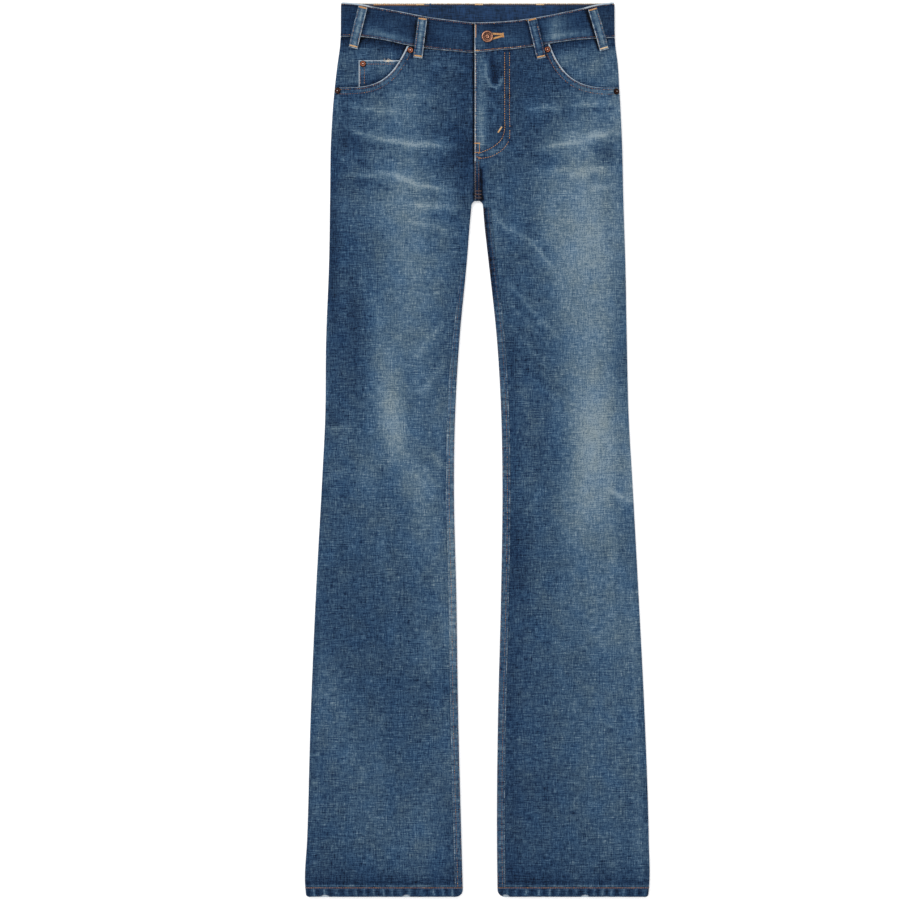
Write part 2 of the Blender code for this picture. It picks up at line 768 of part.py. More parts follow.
def belt_loops():
    for index, place in enumerate(BELT_LOOPS):
        across, down = place[2], place[3]
        side = RIGHT if across < 0 else LEFT
        mouth_top = POCKET_MOUTHS[side][0][0]
        on_facing = abs(across) > mouth_top
        surface = facing_height if on_facing else front_height
        width = across + LOOP_WIDTH * np.linspace(-0.6, 0.6, 7)
        front_loop(index + 1, place, np.max(surface(side, width, down + 0 * width)))
    for index, across in enumerate(BACK_LOOP_PLACES):
        back_loop(len(BELT_LOOPS) + index + 1, across)


def rivets():
    """Rivets, each set just clear of the cloth under its whole base."""
    reach = np.linspace(-RIVET_RADIUS, RIVET_RADIUS, 9)
    for index, (across, down, drop, tilt) in enumerate(RIVETS):
        side = RIGHT if across < 0 else LEFT
        surface = front_height(side, across + reach * math.cos(tilt), down + 0 * reach) - drop
        clear = np.max(surface + reach * math.sin(tilt)) + GAP / math.cos(tilt)
        rivet = add_turned(f"rivet_{index + 1}", RIVET_PROFILE, 14, "copper")
        rivet.location = world(across, down, clear)
        rivet.rotation_euler = (0, tilt, 0)


def waist_button():
    button = add_turned("waist_button", BUTTON_PROFILE, 22, "copper")
    button.location = world(*BUTTON_PLACE, FLAP_BAND_TOP + GAP)


def fly_zip():
    """Closed zip behind the flap: a tape with its raised chain, and the slider at its top."""
    across = np.array((-14.0, 11.8, 12.0, 19.0, 19.2, 34.0))
    down = np.array((76.0, 110.0, 150.0, 188.0))[:, None] + 0 * across
    height = np.array((5.2, 5.2, 6.8, 6.8, 5.2, 5.2)) + 0 * down
    zip_tape = add_wall("fly_zip", (across + 0 * down, down, height), 1.0, "zip_tape")
    zip_tape.modifiers["wall"].use_even_offset = True
    mesh = bpy.data.meshes.new("zip_slider")
    block = bmesh.new()
    bmesh.ops.create_cube(block, size=1)
    bmesh.ops.scale(block, vec=Vector(SLIDER_SIZE) * MM, verts=block.verts)
    block.to_mesh(mesh)
    block.free()
    slider = add_object("zip_slider", mesh, "zip_brass")
    slider.location = world(15.5, 70.8, 5.9)
    bevel = slider.modifiers.new("edge", "BEVEL")
    bevel.width = 0.5 * MM
    bevel.segments = 1


# ---- the garment ----
for leftover in list(bpy.data.objects):
    bpy.data.objects.remove(leftover, do_unlink=True)

garment = bpy.data.collections.new("slim_fit_jeans")
bpy.context.scene.collection.children.link(garment)
origin = bpy.data.objects.new("garment_origin", None)
garment.objects.link(origin)
materials = {name: make_material(name) for name in MATERIALS}

for wearer_side in (RIGHT, LEFT):
    front_panel(wearer_side)
    pocket_facing(wearer_side)
    back_panel(wearer_side)
    yoke(wearer_side)
    back_pocket(wearer_side)
    inseam(wearer_side)
    hem(wearer_side)
coin_pocket()
waistband()
rise_seam()
belt_loops()
fly_zip()
waist_button()
rivets()

for material in materials.values():
    bpy.data.materials.remove(material)
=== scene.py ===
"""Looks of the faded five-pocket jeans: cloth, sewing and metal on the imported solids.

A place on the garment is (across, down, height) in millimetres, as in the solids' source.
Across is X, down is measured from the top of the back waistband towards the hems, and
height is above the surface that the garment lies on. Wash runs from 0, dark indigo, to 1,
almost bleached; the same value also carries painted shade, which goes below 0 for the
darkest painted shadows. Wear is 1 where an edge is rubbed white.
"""

import math

import bpy
import numpy as np
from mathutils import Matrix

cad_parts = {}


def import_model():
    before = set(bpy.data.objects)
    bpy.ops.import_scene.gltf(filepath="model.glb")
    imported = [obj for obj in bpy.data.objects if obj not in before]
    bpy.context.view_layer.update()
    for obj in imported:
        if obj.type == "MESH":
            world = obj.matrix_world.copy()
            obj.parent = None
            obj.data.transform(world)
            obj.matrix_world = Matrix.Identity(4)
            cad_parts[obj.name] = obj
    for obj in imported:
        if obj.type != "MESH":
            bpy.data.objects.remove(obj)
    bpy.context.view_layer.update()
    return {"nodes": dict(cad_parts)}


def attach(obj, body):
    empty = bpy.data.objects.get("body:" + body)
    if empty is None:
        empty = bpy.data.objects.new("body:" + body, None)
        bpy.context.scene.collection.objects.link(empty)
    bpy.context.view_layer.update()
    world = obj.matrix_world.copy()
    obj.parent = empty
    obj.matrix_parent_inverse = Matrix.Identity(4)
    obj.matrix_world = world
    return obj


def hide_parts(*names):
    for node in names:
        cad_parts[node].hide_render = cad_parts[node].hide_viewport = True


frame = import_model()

MM = 0.001
RIGHT = -1                  # the wearer's right, at -X
LEFT = 1
SIDES = (RIGHT, LEFT)
SIDE_NAMES = {RIGHT: "right", LEFT: "left"}
random = np.random.default_rng(7)

# ---- sizes, in millimetres, of the solids where no comment says otherwise ----
LENGTH = 1160.0             # from the top of the back waistband to the hems
CLOTH = 1.2                 # wall of the panels
GAP = 0.3                   # air between two pieces
SEAM_STEP = 0.3             # upright face of the cloth along a seam
FRONT_ROUND = 6.0           # how far in from the outline the front is rounded
BACK_ROUND = 4.0
FACING_ROUND = 4.5
BACK_LIFT = 1.5             # height of the back where it lies on its pockets and loops
LIFT_ENDS = (262.0, 310.0)  # down, over which the back sinks to the surface

BAND_WALL = 2.4
BAND_TOP = 8.7              # height of the front waistband's outer face,
FLAP_BAND_TOP = 9.3         # of its left end, which lies on top,
UNDER_BAND_TOP = 6.6        # and of its right end underneath
UNDERLAP_END = 28.0         # across, the edge of that right end
BAND_ROUND = (BAND_TOP - BACK_LIFT) / 2
BAND_RISE = 2.7             # the back waistband's top edge stands this much above the solid's
BAND_SIDE_BOTTOM = {RIGHT: 41.8, LEFT: 43.2}

ARCH_TOP = 254.5
ARCH_RADIUS = 7.5
ARCH_CENTRE = ARCH_TOP + ARCH_RADIUS

POCKET_END = 108.0          # down, where the pocket opening meets the side seam
POCKET_TUCK = 8.0           # how far the facing reaches behind the front panel
FACING_WALL = 1.0
FACING_DROP = 1.5           # how far the facing lies below the front's face
COIN_WALL = 0.9
COIN_EDGE = 154.1           # outward, the coin pocket's free side
COIN_TOP = 72.3
COIN_EXTRA_DROP = COIN_WALL + GAP

FLY_RISE = 1.1              # the flap over the fly stands this much above the front
FLY_REACH = 46.6            # its width
FLY_STRAIGHT = 164.0        # down, where its edge begins to curve
FLY_CURVE = 39.0            # depth of the curved part
FLY_SLOPE = 6.0             # width of the slope at its edge
FLY_DIP = 0.6               # how far the right front sinks beside it

INSEAM_WIDTH = 10.0
INSEAM_INSET = 1.0          # from the leg's inner edge to the strip
STRIP_WALL = 1.0
INSEAM_START = {RIGHT: 348.0, LEFT: 264.0}
RISE_SEAM_START = 204.0
RISE_SEAM_WIDTH = 7.0

HEM_HEIGHT = 13.0
HEM_LINE = LENGTH - HEM_HEIGHT
HEM_WALL = 2.4
HEM_TOP = 7.0
FRAYED_HEM = (-198.0, -92.0, 37.0, 140.0)  # across, frayed places of the hems' edges
HEM_CORNER = {"inner": 9.0, "outer": 3.0}  # radius of the rounded lower corners

LOOP_WIDTH = 12.0
LOOP_WALL = 1.5
BACK_LOOP_WALL = BACK_LIFT - GAP
BACK_LOOP_LENGTH = 53.5

BUTTON_PLACE = (13.1, 42.2)
RIVET_RADIUS = 4.2
SIDE_RIVET_TILT = math.radians(22)

SIDE_SEAMS = (
    # down, right, left: how far out each side seam lies
    (0, 177.1, 178.4),
    (59, 179.1, 180.4),
    (72, 181.0, 182.3),
    (111, 185.6, 184.9),
    (176, 190.1, 188.2),
    (254, 191.4, 190.1),
    (332, 192.7, 192.7),
    (436, 196.6, 194.7),
    (540, 197.9, 197.3),
    (618, 201.8, 201.8),
    (774, 210.3, 210.3),
    (930, 216.8, 218.1),
    (1086, 221.3, 223.3),
    (1145, 223.9, 223.9),
    (1160, 222.6, 222.6),
)
INNER_LEGS = (
    # down, right, left: how far out each leg's inner edge lies
    (ARCH_CENTRE, 7.5, 7.5),
    (280, 9.2, 8.9),
    (332, 13.3, 14.6),
    (436, 23.1, 25.7),
    (540, 28.9, 31.5),
    (618, 30.2, 32.8),
    (774, 27.0, 30.9),
    (930, 24.6, 27.0),
    (1086, 20.5, 25.7),
    (1160, 18.5, 26.5),
)
FRONT_BAND = (
    # across, top edge, bottom edge of the front waistband, down
    (-178, 0.0, 41.8),
    (-146, 1.9, 42.4),
    (-117, 6.3, 47.0),
    (-88, 11.7, 53.3),
    (-63, 16.5, 57.2),
    (-37, 20.0, 60.1),
    (-4, 23.4, 62.4),
    (27, 22.7, 59.5),
    (54, 20.2, 57.0),
    (74, 17.4, 54.0),
    (90, 14.7, 51.4),
    (125, 7.5, 46.4),
    (150, 3.0, 44.4),
    (179, 0.0, 43.2),
)
FLAP_EDGE = -3.6            # across, the free edge of the fly and of the waistband's left end
CENTRE_FRONT = (
    # down, across
    (0, FLAP_EDGE),
    (160, FLAP_EDGE),
    (205, FLAP_EDGE),
    (254, -3.2),
)
TOP_HEIGHTS = (
    # down, height of the front's outer face
    (40, 7.4),
    (262, 7.1),
    (310, 6.0),
    (450, 5.9),
    (700, 5.7),
    (1000, 5.8),
    (1147, 6.1),
)
POCKET_MOUTHS = {
    # Bezier points of the opening: outward, down
    RIGHT: ((91.3, 54.0), (115.0, 105.0), (135.0, 109.0), (185.3, POCKET_END)),
    LEFT: ((94.0, 51.2), (112.0, 100.0), (137.0, 111.0), (184.7, POCKET_END)),
}
FOLDS = (
    # across, down at one end; across, down at the other; half width; rise
    (-184, 160, -30, 183, 9, 0.30),
    (-184, 178, -60, 200, 10, -0.55),
    (-184, 221, -24, 246, 9, 0.30),
    (-150, 243, -40, 262, 8, -0.50),
    (-105, 262, -30, 296, 8, 0.30),
    (66, 186, 184, 165, 9, 0.30),
    (70, 203, 184, 196, 10, -0.50),
    (66, 219, 184, 217, 9, 0.30),
    (18, 274, 108, 354, 9, 0.30),
    (30, 300, 100, 372, 9, -0.60),
    (34, 354, 112, 440, 9, 0.30),
    (38, 384, 100, 462, 9, -0.60),
    (42, 416, 98, 482, 9, 0.30),
    (-42, 410, -88, 466, 9, 0.30),
    (-44, 462, -78, 512, 9, -0.50),
    (-190, 544, -150, 550, 9, -0.80),
    (-192, 612, -160, 602, 9, -0.60),
    (-90, 600, -44, 656, 9, -0.60),
    (52, 620, 86, 590, 9, -0.50),
    (196, 560, 168, 552, 8, -0.60),
    (198, 644, 160, 628, 9, -0.60),
)
BELT_LOOPS = (
    # front: across, down at the top; across, down at the bottom
    (-148.5, 3.4, -161.5, 56.6),
    (-71.0, 18.2, -77.3, 69.6),
    (71.2, 18.9, 83.5, 70.2),
    (149.8, 5.9, 165.4, 59.2),
)
LOOP_ARCH = (
    # share of the length, height of the underside above the waistband
    (0.0, 0.3),
    (0.1, 0.4),
    (0.4, 1.2),
    (0.72, 0.8),
)
BACK_LOOP_PLACES = (-74.4, 2.3, 81.6)
BACK_POCKET_HALF = 70       # half its width at the top
BACK_POCKET_FOOT = 61       # half its width where the sides end
BACK_POCKET_SIDE = 112      # down from its top, end of the sides
BACK_POCKET_TIP = 137       # down from its top, the point
BACK_POCKET_MIDDLE = 94.0
BACK_POCKET_TOP = 104.0
YOKE_SIDE = 75.0
YOKE_CENTRE = 100.0
RIVETS = (
    # across, down, drop below the front's face, tilt
    (-87.0, 59.4, 0.0, 0.0),
    (-148.5, 77.0, FACING_DROP, 0.0),
    (-181.3, 112.2, 0.0, -SIDE_RIVET_TILT),
    (91.3, 58.6, 0.0, 0.0),
    (180.9, 113.1, 0.0, SIDE_RIVET_TILT),
)

# ---- wash and creases ----
BASE_WASH = (
    # down, right, left: wash of the plain cloth
    (40, 0.26, 0.22),
    (100, 0.23, 0.21),
    (140, 0.29, 0.28),
    (180, 0.23, 0.26),
    (220, 0.25, 0.34),
    (260, 0.32, 0.34),
    (300, 0.25, 0.40),
    (340, 0.22, 0.34),
    (420, 0.21, 0.32),
    (460, 0.24, 0.26),
    (500, 0.28, 0.33),
    (580, 0.38, 0.32),
    (620, 0.36, 0.34),
    (700, 0.34, 0.22),
    (780, 0.28, 0.24),
    (860, 0.30, 0.26),
    (940, 0.33, 0.29),
    (980, 0.36, 0.30),
    (1020, 0.35, 0.26),
    (1060, 0.33, 0.29),
    (1100, 0.29, 0.27),
    (1125, 0.22, 0.20),
    (1140, 0.15, 0.13),
    (1160, 0.20, 0.18),
)
FADE_BANDS = (
    # side, then down the leg: down, middle outward, half width inward and outward, wash added
    (RIGHT, (
        (70, 98, 30, 30, 0.0),
        (100, 96, 34, 34, 0.18),
        (140, 94, 44, 52, 0.26),
        (180, 88, 44, 46, 0.30),
        (220, 92, 44, 48, 0.36),
        (260, 88, 52, 60, 0.38),
        (300, 84, 54, 58, 0.40),
        (340, 80, 54, 62, 0.44),
        (380, 82, 54, 62, 0.42),
        (420, 96, 60, 46, 0.40),
        (460, 98, 58, 44, 0.38),
        (500, 98, 50, 40, 0.30),
        (540, 94, 46, 40, 0.18),
        (600, 90, 46, 40, 0.08),
        (660, 84, 40, 40, 0.0),
    )),
    (RIGHT, (
        (440, 124, 16, 16, 0.0),
        (480, 123, 17, 18, 0.16),
        (500, 121, 19, 18, 0.24),
        (530, 114, 22, 20, 0.34),
        (560, 107, 22, 22, 0.32),
        (590, 101, 18, 20, 0.20),
        (620, 92, 18, 18, 0.06),
        (650, 85, 18, 18, 0.0),
    )),
    (RIGHT, (
        (570, 78, 18, 18, 0.0),
        (600, 80, 20, 20, 0.14),
        (625, 76, 24, 24, 0.26),
        (660, 66, 26, 26, 0.26),
        (700, 60, 28, 28, 0.22),
        (740, 54, 26, 28, 0.14),
        (780, 48, 24, 24, 0.10),
        (840, 44, 20, 24, 0.08),
        (920, 44, 18, 20, 0.06),
        (1000, 46, 16, 20, 0.05),
        (1050, 48, 16, 20, 0.0),
    )),
    (RIGHT, (
        (480, 38, 12, 12, 0.0),
        (520, 42, 14, 14, 0.14),
        (560, 42, 14, 14, 0.16),
        (600, 38, 14, 14, 0.12),
        (660, 34, 12, 12, 0.12),
        (720, 34, 14, 14, 0.20),
        (780, 36, 16, 16, 0.26),
        (830, 36, 14, 14, 0.24),
        (860, 34, 12, 12, 0.08),
        (960, 32, 10, 10, 0.0),
    )),
    (RIGHT, (
        (560, 148, 16, 16, 0.0),
        (600, 144, 16, 16, 0.14),
        (625, 142, 16, 16, 0.18),
        (650, 146, 16, 16, 0.08),
        (700, 150, 16, 16, 0.0),
    )),
    (RIGHT, (
        (820, 205, 18, 18, 0.0),
        (850, 202, 20, 18, 0.10),
        (880, 200, 26, 20, 0.18),
        (910, 192, 30, 24, 0.18),
        (950, 184, 34, 28, 0.12),
        (980, 165, 34, 34, 0.08),
        (1020, 145, 34, 34, 0.08),
        (1060, 140, 34, 38, 0.11),
        (1090, 135, 40, 40, 0.08),
        (1120, 130, 40, 40, 0.0),
    )),
    (RIGHT, (
        (1010, 76, 24, 24, 0.0),
        (1050, 76, 30, 30, 0.10),
        (1080, 72, 32, 34, 0.14),
        (1110, 72, 32, 34, 0.14),
        (1130, 74, 30, 34, 0.05),
        (1145, 74, 30, 30, 0.0),
    )),
    (LEFT, (
        (80, 150, 40, 50, 0.0),
        (100, 152, 34, 40, 0.26),
        (120, 150, 40, 50, 0.26),
        (150, 148, 48, 56, 0.30),
        (180, 138, 48, 60, 0.38),
        (220, 142, 58, 66, 0.36),
        (260, 146, 66, 70, 0.44),
        (300, 146, 64, 70, 0.43),
        (340, 146, 58, 66, 0.46),
        (380, 148, 54, 58, 0.42),
        (420, 150, 48, 56, 0.42),
        (460, 143, 42, 58, 0.46),
        (500, 146, 38, 60, 0.46),
        (540, 148, 36, 64, 0.54),
        (580, 148, 34, 70, 0.56),
        (620, 146, 36, 70, 0.48),
        (660, 142, 44, 64, 0.48),
        (685, 138, 46, 70, 0.42),
        (710, 145, 56, 80, 0.37),
        (740, 155, 62, 80, 0.37),
        (780, 165, 68, 80, 0.35),
        (820, 175, 72, 90, 0.33),
        (860, 180, 76, 70, 0.24),
        (900, 172, 80, 70, 0.22),
        (940, 165, 76, 70, 0.18),
        (980, 168, 68, 66, 0.17),
        (1020, 164, 48, 60, 0.20),
        (1060, 160, 46, 60, 0.13),
        (1100, 148, 34, 50, 0.10),
        (1130, 136, 22, 30, 0.12),
        (1160, 135, 20, 20, 0.06),
    )),
    (LEFT, (
        (560, 204, 14, 14, 0.0),
        (590, 205, 16, 16, 0.10),
        (625, 206, 16, 16, 0.20),
        (655, 206, 14, 14, 0.10),
        (690, 206, 14, 14, 0.0),
    )),
)
FADES = (
    # across, down at one end; across, down at the other; half width; wash added
    (-12, 72, -20, 189, 16, -0.12),
    (-15, 189, -20, 267, 13, -0.13),
    (-121, 75, -100, 124, 18, 0.06),
    (-165, 124, -172, 157, 10, -0.08),
    (45, 72, 50, 213, 21, -0.03),
    (46, 430, 46, 1128, 9, -0.08),
    (4, 70, 6, 180, 7, 0.32),
    (19, 72, 23, 99, 4.5, -0.28),
    # painted shadow beside the rise seam, down to the crotch:
    (4.8, 214, 6.0, 252, 2.3, -0.75),
    (-2, 248, 5, 254, 4, -0.60),
    (112, 330, 112, 430, 14, 0.06),
    (-196, 388, -197, 520, 5, 0.16),
    (-160, 380, -158, 460, 8, -0.10),
    (-130, 385, -128, 455, 9, 0.11),
    (-112, 740, -104, 860, 12, 0.09),
    (-70, 780, -70, 860, 9, 0.11),
    (-42, 540, -40, 900, 6, -0.12),
    (52, 780, 54, 830, 9, 0.10),
    (80, 690, 82, 850, 10, 0.08),
    (170, 235, 172, 310, 8, -0.11),
    (62, 288, 70, 318, 9, -0.08),
    (172, 680, 178, 730, 7, 0.11),
    (22, 1030, 22, 1120, 8, 0.08),
    (49, 92, 82, 105, 10, -0.04),
    (3, 140, 3, 204, 5, 0.12),
    (-10, 98, -8, 142, 2.2, 0.12),
    # painted shade beside the fly's bartack:
    (31, 166, 36, 158, 2.0, -0.20),
    (18, 262, 24, 318, 7, 0.12),
    (70, 262, 76, 300, 10, -0.05),
    (-60, 265, -62, 365, 9, -0.08),
    (-82, 252, -80, 292, 9, -0.05),
    (-187, 262, -186, 335, 6, -0.07),
    (-130, 104, -118, 122, 8, -0.10),
    (-102, 108, -98, 128, 8, -0.08),
    (140, 106, 143, 112, 7, -0.10),
    (138, 165, 142, 172, 7, -0.09),
    (-206, 862, -206, 880, 9, -0.10),
    (-110, 835, -110, 905, 10, -0.05),
    (-36, 1070, -36, 1095, 7, -0.09),
    (20, 92, 22, 158, 9, -0.09),
    (-181, 102, -184, 160, 7, 0.14),
    (-186, 205, -190, 400, 7, -0.09),
    (183, 108, 185, 168, 8, 0.26),
    (72, 292, 98, 330, 12, -0.07),
    (-88, 440, -88, 612, 10, -0.07),
    (-60, 640, -60, 694, 8, -0.07),
    (-122, 655, -124, 730, 14, 0.07),
    (-86, 690, -84, 850, 10, 0.06),
    (-208, 712, -212, 815, 8, 0.08),
    (-62, 820, -60, 862, 9, 0.09),
    (-36, 800, -38, 1030, 6, 0.05),
    (-134, 925, -134, 1000, 10, 0.06),
    (-154, 1112, -58, 1136, 14, 0.07),
    (107, 775, 107, 870, 10, 0.09),
    (35, 684, 35, 830, 6, 0.10),
    (58, 690, 58, 830, 7, -0.06),
    (184, 320, 186, 640, 9, -0.08),
    (203, 630, 208, 1040, 8, 0.06),
    (209, 1075, 213, 1140, 14, 0.16),
    (178, 1080, 180, 1140, 9, 0.10),
    (-158, 470, -158, 500, 9, -0.09),
    (92, 226, 92, 300, 12, 0.07),
    (160, 189, 175, 202, 8, -0.10),
)
CREASES = (
    # half width, wash added (below 0, painted shade in the fold), rise, points of the line: across, down
    (3.4, 0.10, 0.00, ((-120, 118), (-84, 119), (-48, 126))),
    (2.6, 0.18, 0.15, ((-176, 124), (-152, 135), (-122, 137), (-92, 141))),
    (2.6, -0.16, -0.20, ((-84, 134), (-56, 136), (-34, 142))),
    (2.6, 0.32, 0.30, ((-184, 152), (-150, 169), (-119, 176), (-84, 181), (-34, 184), (-14, 187))),
    (6.0, -0.15, -0.25, ((-88, 161), (-56, 163), (-16, 163))),
    (4.5, -0.16, -0.20, ((-182, 171), (-164, 178), (-138, 186))),
    (6.0, -0.14, -0.25, ((-80, 199), (-52, 206), (-22, 204))),
    (3.0, 0.12, 0.10, ((-162, 196), (-120, 200))),
    (3.0, -0.18, -0.15, ((-160, 205), (-132, 207))),
    (2.2, 0.14, 0.12, ((-182, 200), (-146, 212))),
    (2.6, 0.24, 0.25, ((-186, 223), (-143, 221), (-108, 221), (-78, 234), (-46, 240), (-16, 243))),
    (3.4, -0.18, -0.20, ((-168, 229), (-136, 232), (-108, 240))),
    (3.0, -0.14, -0.18, ((-86, 246), (-50, 247))),
    (2.6, 0.18, 0.20, ((-94, 256), (-70, 262), (-12, 264))),
    (2.6, -0.14, -0.15, ((-76, 271), (-46, 276), (-20, 279))),
    (2.4, 0.14, 0.12, ((-94, 282), (-60, 287), (-30, 297))),
    (2.4, 0.26, 0.20, ((58, 138), (88, 134), (116, 137))),
    (2.6, 0.16, 0.15, ((118, 132), (150, 130), (184, 127))),
    (1.8, -0.20, -0.20, ((80, 142), (130, 138), (176, 136))),
    (3.4, -0.12, -0.15, ((60, 150), (96, 152))),
    (2.8, 0.26, 0.28, ((68, 190), (100, 183), (131, 178), (160, 169), (186, 162))),
    (2.2, 0.16, 0.12, ((104, 172), (140, 167), (180, 170))),
    (4.6, -0.18, -0.20, ((66, 198), (100, 200))),
    (4.6, -0.22, -0.22, ((148, 190), (180, 188))),
    (4.0, -0.12, -0.12, ((152, 204), (178, 203))),
    (3.6, -0.12, -0.12, ((82, 207), (124, 206))),
    (2.4, 0.16, 0.16, ((82, 217), (131, 216), (184, 213))),
    (2.4, 0.12, 0.12, ((116, 225), (148, 222))),
    (2.0, -0.12, -0.10, ((140, 226), (180, 225))),
    (2.2, 0.14, 0.12, ((146, 238), (184, 236))),
    (2.6, 0.18, 0.25, ((11, 266), (38, 290), (66, 304), (110, 356))),
    (2.6, 0.16, 0.22, ((30, 350), (66, 390), (111, 440))),
    (2.4, 0.13, 0.18, ((38, 410), (98, 483))),
    (2.6, 0.09, 0.10, ((37, 382), (88, 436))),
    (2.9, 0.10, 0.10, ((52, 482), (82, 574))),
    (3.9, -0.08, -0.20, ((19, 285), (88, 354))),
    (3.9, -0.08, -0.20, ((36, 369), (97, 436))),
    (3.2, 0.15, 0.20, ((-42, 410), (-87, 466))),
    (3.2, 0.15, 0.20, ((-39, 462), (-78, 512))),
    (3.2, -0.07, -0.10, ((-41, 434), (-74, 475))),
    (4.5, -0.16, -0.20, ((-198, 543), (-171, 540))),
    (2.1, 0.20, 0.20, ((-200, 553), (-158, 549))),
    (2.6, 0.14, 0.15, ((-202, 621), (-168, 601))),
    (4.5, -0.14, -0.15, ((-202, 623), (-194, 644))),
    (2.6, 0.14, 0.15, ((-61, 582), (-42, 605))),
    (2.6, 0.05, 0.10, ((-91, 599), (-42, 658))),
    (2.6, 0.10, 0.10, ((-74, 601), (-41, 635))),
    (2.6, 0.10, 0.10, ((49, 634), (76, 606))),
    (2.6, 0.10, 0.10, ((57, 671), (84, 632))),
    (2.6, 0.20, 0.20, ((165, 627), (204, 649))),
    (3.4, -0.10, -0.10, ((167, 639), (204, 662))),
    (1.6, 0.36, 0.20, ((16, 68), (11, 80), (12, 95), (17, 105), (24, 109), (30, 104), (34, 86))),
    (2.0, 0.16, 0.12, ((14, 118), (24, 136), (20, 158))),
    (2.6, 0.18, 0.00, ((11, 196), (30, 189), (40, 176))),
    (2.1, 0.14, 0.10, ((-68, 75), (-29, 80), (-7, 90))),
)
FLY_ROWS = (
    # across, down along each row of the J, from the waistband to the flap's foot
    ((41.9, 62), (41.9, 110), (42.0, 150), (42.3, 164), (41, 177), (34.4, 187), (21.1, 196.4), (0.6, 201)),
    ((35.6, 62), (35.6, 110), (35.6, 150), (35.4, 164), (31.7, 175), (21.1, 185), (0.6, 194.4)),
)
MOUTH_BANDS = (
    # distance in from the pocket opening, half width, wash added
    (5.2, 2.0, 0.14),
    (2.6, 1.2, -0.16),
    (9.4, 1.6, -0.14),
)
BAND_FADES = (
    # across, distance above the waistband's lower edge, half width, half height, wash added
    (-114, 6, 30, 5, 0.50),
    (-40, 20, 14, 12, 0.12),
    (-62, 14, 8, 14, -0.06),
    (4, 12, 8, 16, 0.30),
    (44, 12, 20, 8, 0.22),
    (60, 26, 12, 8, 0.14),
    (120, 7, 34, 5, 0.52),
    (108, 22, 22, 12, 0.18),
    (160, 12, 10, 12, 0.06),
    (-160, 14, 12, 14, -0.06),
    (20, 32, 12, 6, -0.06),
    (101, 24, 11, 14, 0.30),
    (101, 8, 9, 8, 0.25),
    (-130, 10, 12, 8, 0.12),
    (-20, 22, 8, 10, 0.18),
    (-141, 12, 8, 8, 0.12),
    (-110, 22, 10, 9, 0.10),
    (-83, 20, 6, 14, -0.10),
    (58, 22, 8, 12, -0.10),
    (120, 4, 14, 5, -0.14),
    (160, 6, 12, 5, -0.12),
    (-150, 0, 50, 4, -0.08),
)
LOOP_SHADES = (
    # painted shadow beside the front belt loops: front belt loop, distance across from its middle, wash
    # added
    (0, 7.6, -0.30),
    (1, -7.4, -0.34),
    (1, 7.4, -0.38),
    (2, -7.2, -0.28),
    (2, 7.4, -0.24),
    (3, -7.6, -0.62),
)
LOOP_LOOKS = (
    # wash at the top and at the bottom, wear of the left and right edge, place of the pale streak
    (0.64, 0.58, 0.45, 0.95, 0.8),
    (0.62, 0.48, 0.35, 0.95, 0.0),
    (0.38, 0.32, 0.80, 0.25, -1.2),
    (0.52, 0.60, 0.95, 0.30, 1.4),
)
BACK_FADES = (
    # outward, down at one end; outward, down at the other; half width; wash added
    (100, 260, 104, 400, 46, 0.24),
    (92, 150, 94, 222, 52, 0.14),
    (20, 120, 20, 240, 16, -0.12),
    (104, 640, 110, 760, 40, 0.16),
    (110, 540, 108, 600, 34, -0.10),
    (120, 860, 124, 1040, 38, 0.08),
    (112, 1120, 116, 1146, 60, 0.14),
    (176, 300, 184, 560, 14, -0.16),
    (40, 420, 42, 1050, 11, -0.12),
)
BACK_CREASES = (
    # side, half width, wash added (below 0, painted shade in the fold), rise, points of the line: outward,
    # down
    (RIGHT, 3.6, 0.26, 0.35, ((30, 262), (84, 270), (150, 258))),
    (RIGHT, 4.8, -0.14, -0.30, ((36, 274), (90, 282), (140, 274))),
    (RIGHT, 3.2, 0.20, 0.30, ((36, 296), (92, 300), (128, 292))),
    (RIGHT, 3.4, 0.28, 0.35, ((40, 520), (92, 538), (180, 522))),
    (RIGHT, 4.6, -0.20, -0.30, ((44, 532), (96, 550), (176, 538))),
    (RIGHT, 3.0, 0.26, 0.30, ((46, 556), (104, 566), (186, 560))),
    (RIGHT, 3.4, 0.22, 0.30, ((42, 590), (88, 582), (150, 596))),
    (RIGHT, 4.4, -0.16, -0.25, ((50, 576), (110, 578), (180, 582))),
    (RIGHT, 2.8, 0.16, 0.20, ((60, 622), (120, 612), (186, 626))),
    (LEFT, 3.6, 0.24, 0.35, ((26, 266), (72, 280), (132, 270))),
    (LEFT, 4.6, -0.14, -0.30, ((34, 280), (82, 294), (128, 286))),
    (LEFT, 3.0, 0.16, 0.25, ((64, 314), (110, 318), (156, 308))),
    (LEFT, 3.4, 0.24, 0.35, ((60, 498), (112, 514), (186, 504))),
    (LEFT, 4.8, -0.18, -0.30, ((62, 512), (116, 528), (184, 518))),
    (LEFT, 3.0, 0.20, 0.30, ((44, 548), (82, 538), (138, 556))),
    (LEFT, 3.2, 0.24, 0.30, ((70, 584), (122, 572), (186, 590))),
    (LEFT, 4.2, -0.14, -0.25, ((66, 572), (118, 558), (182, 576))),
    (LEFT, 2.8, 0.14, 0.20, ((46, 642), (96, 628), (150, 646))),
)


# ---- the garment's form, as in the solids ----
def curve_through(rows, column):
    """A smooth function of a table's first column, through another column's values."""
    table = np.array(rows, dtype=float)
    stations = table[:, 0]
    values = table[:, column]
    slopes = np.gradient(values, stations)

    def read(at):
        at = np.clip(at, stations[0], stations[-1])
        k = np.clip(np.searchsorted(stations, at) - 1, 0, len(stations) - 2)
        step = stations[k + 1] - stations[k]
        t = (at - stations[k]) / step
        eased = t * t * (3 - 2 * t)
        lean = t * (1 - t) ** 2 * slopes[k] - t * t * (1 - t) * slopes[k + 1]
        return values[k] + (values[k + 1] - values[k]) * eased + step * lean

    return read


def both_curves(rows):
    """The curves of a table's right and left columns."""
    return {RIGHT: curve_through(rows, 1), LEFT: curve_through(rows, 2)}


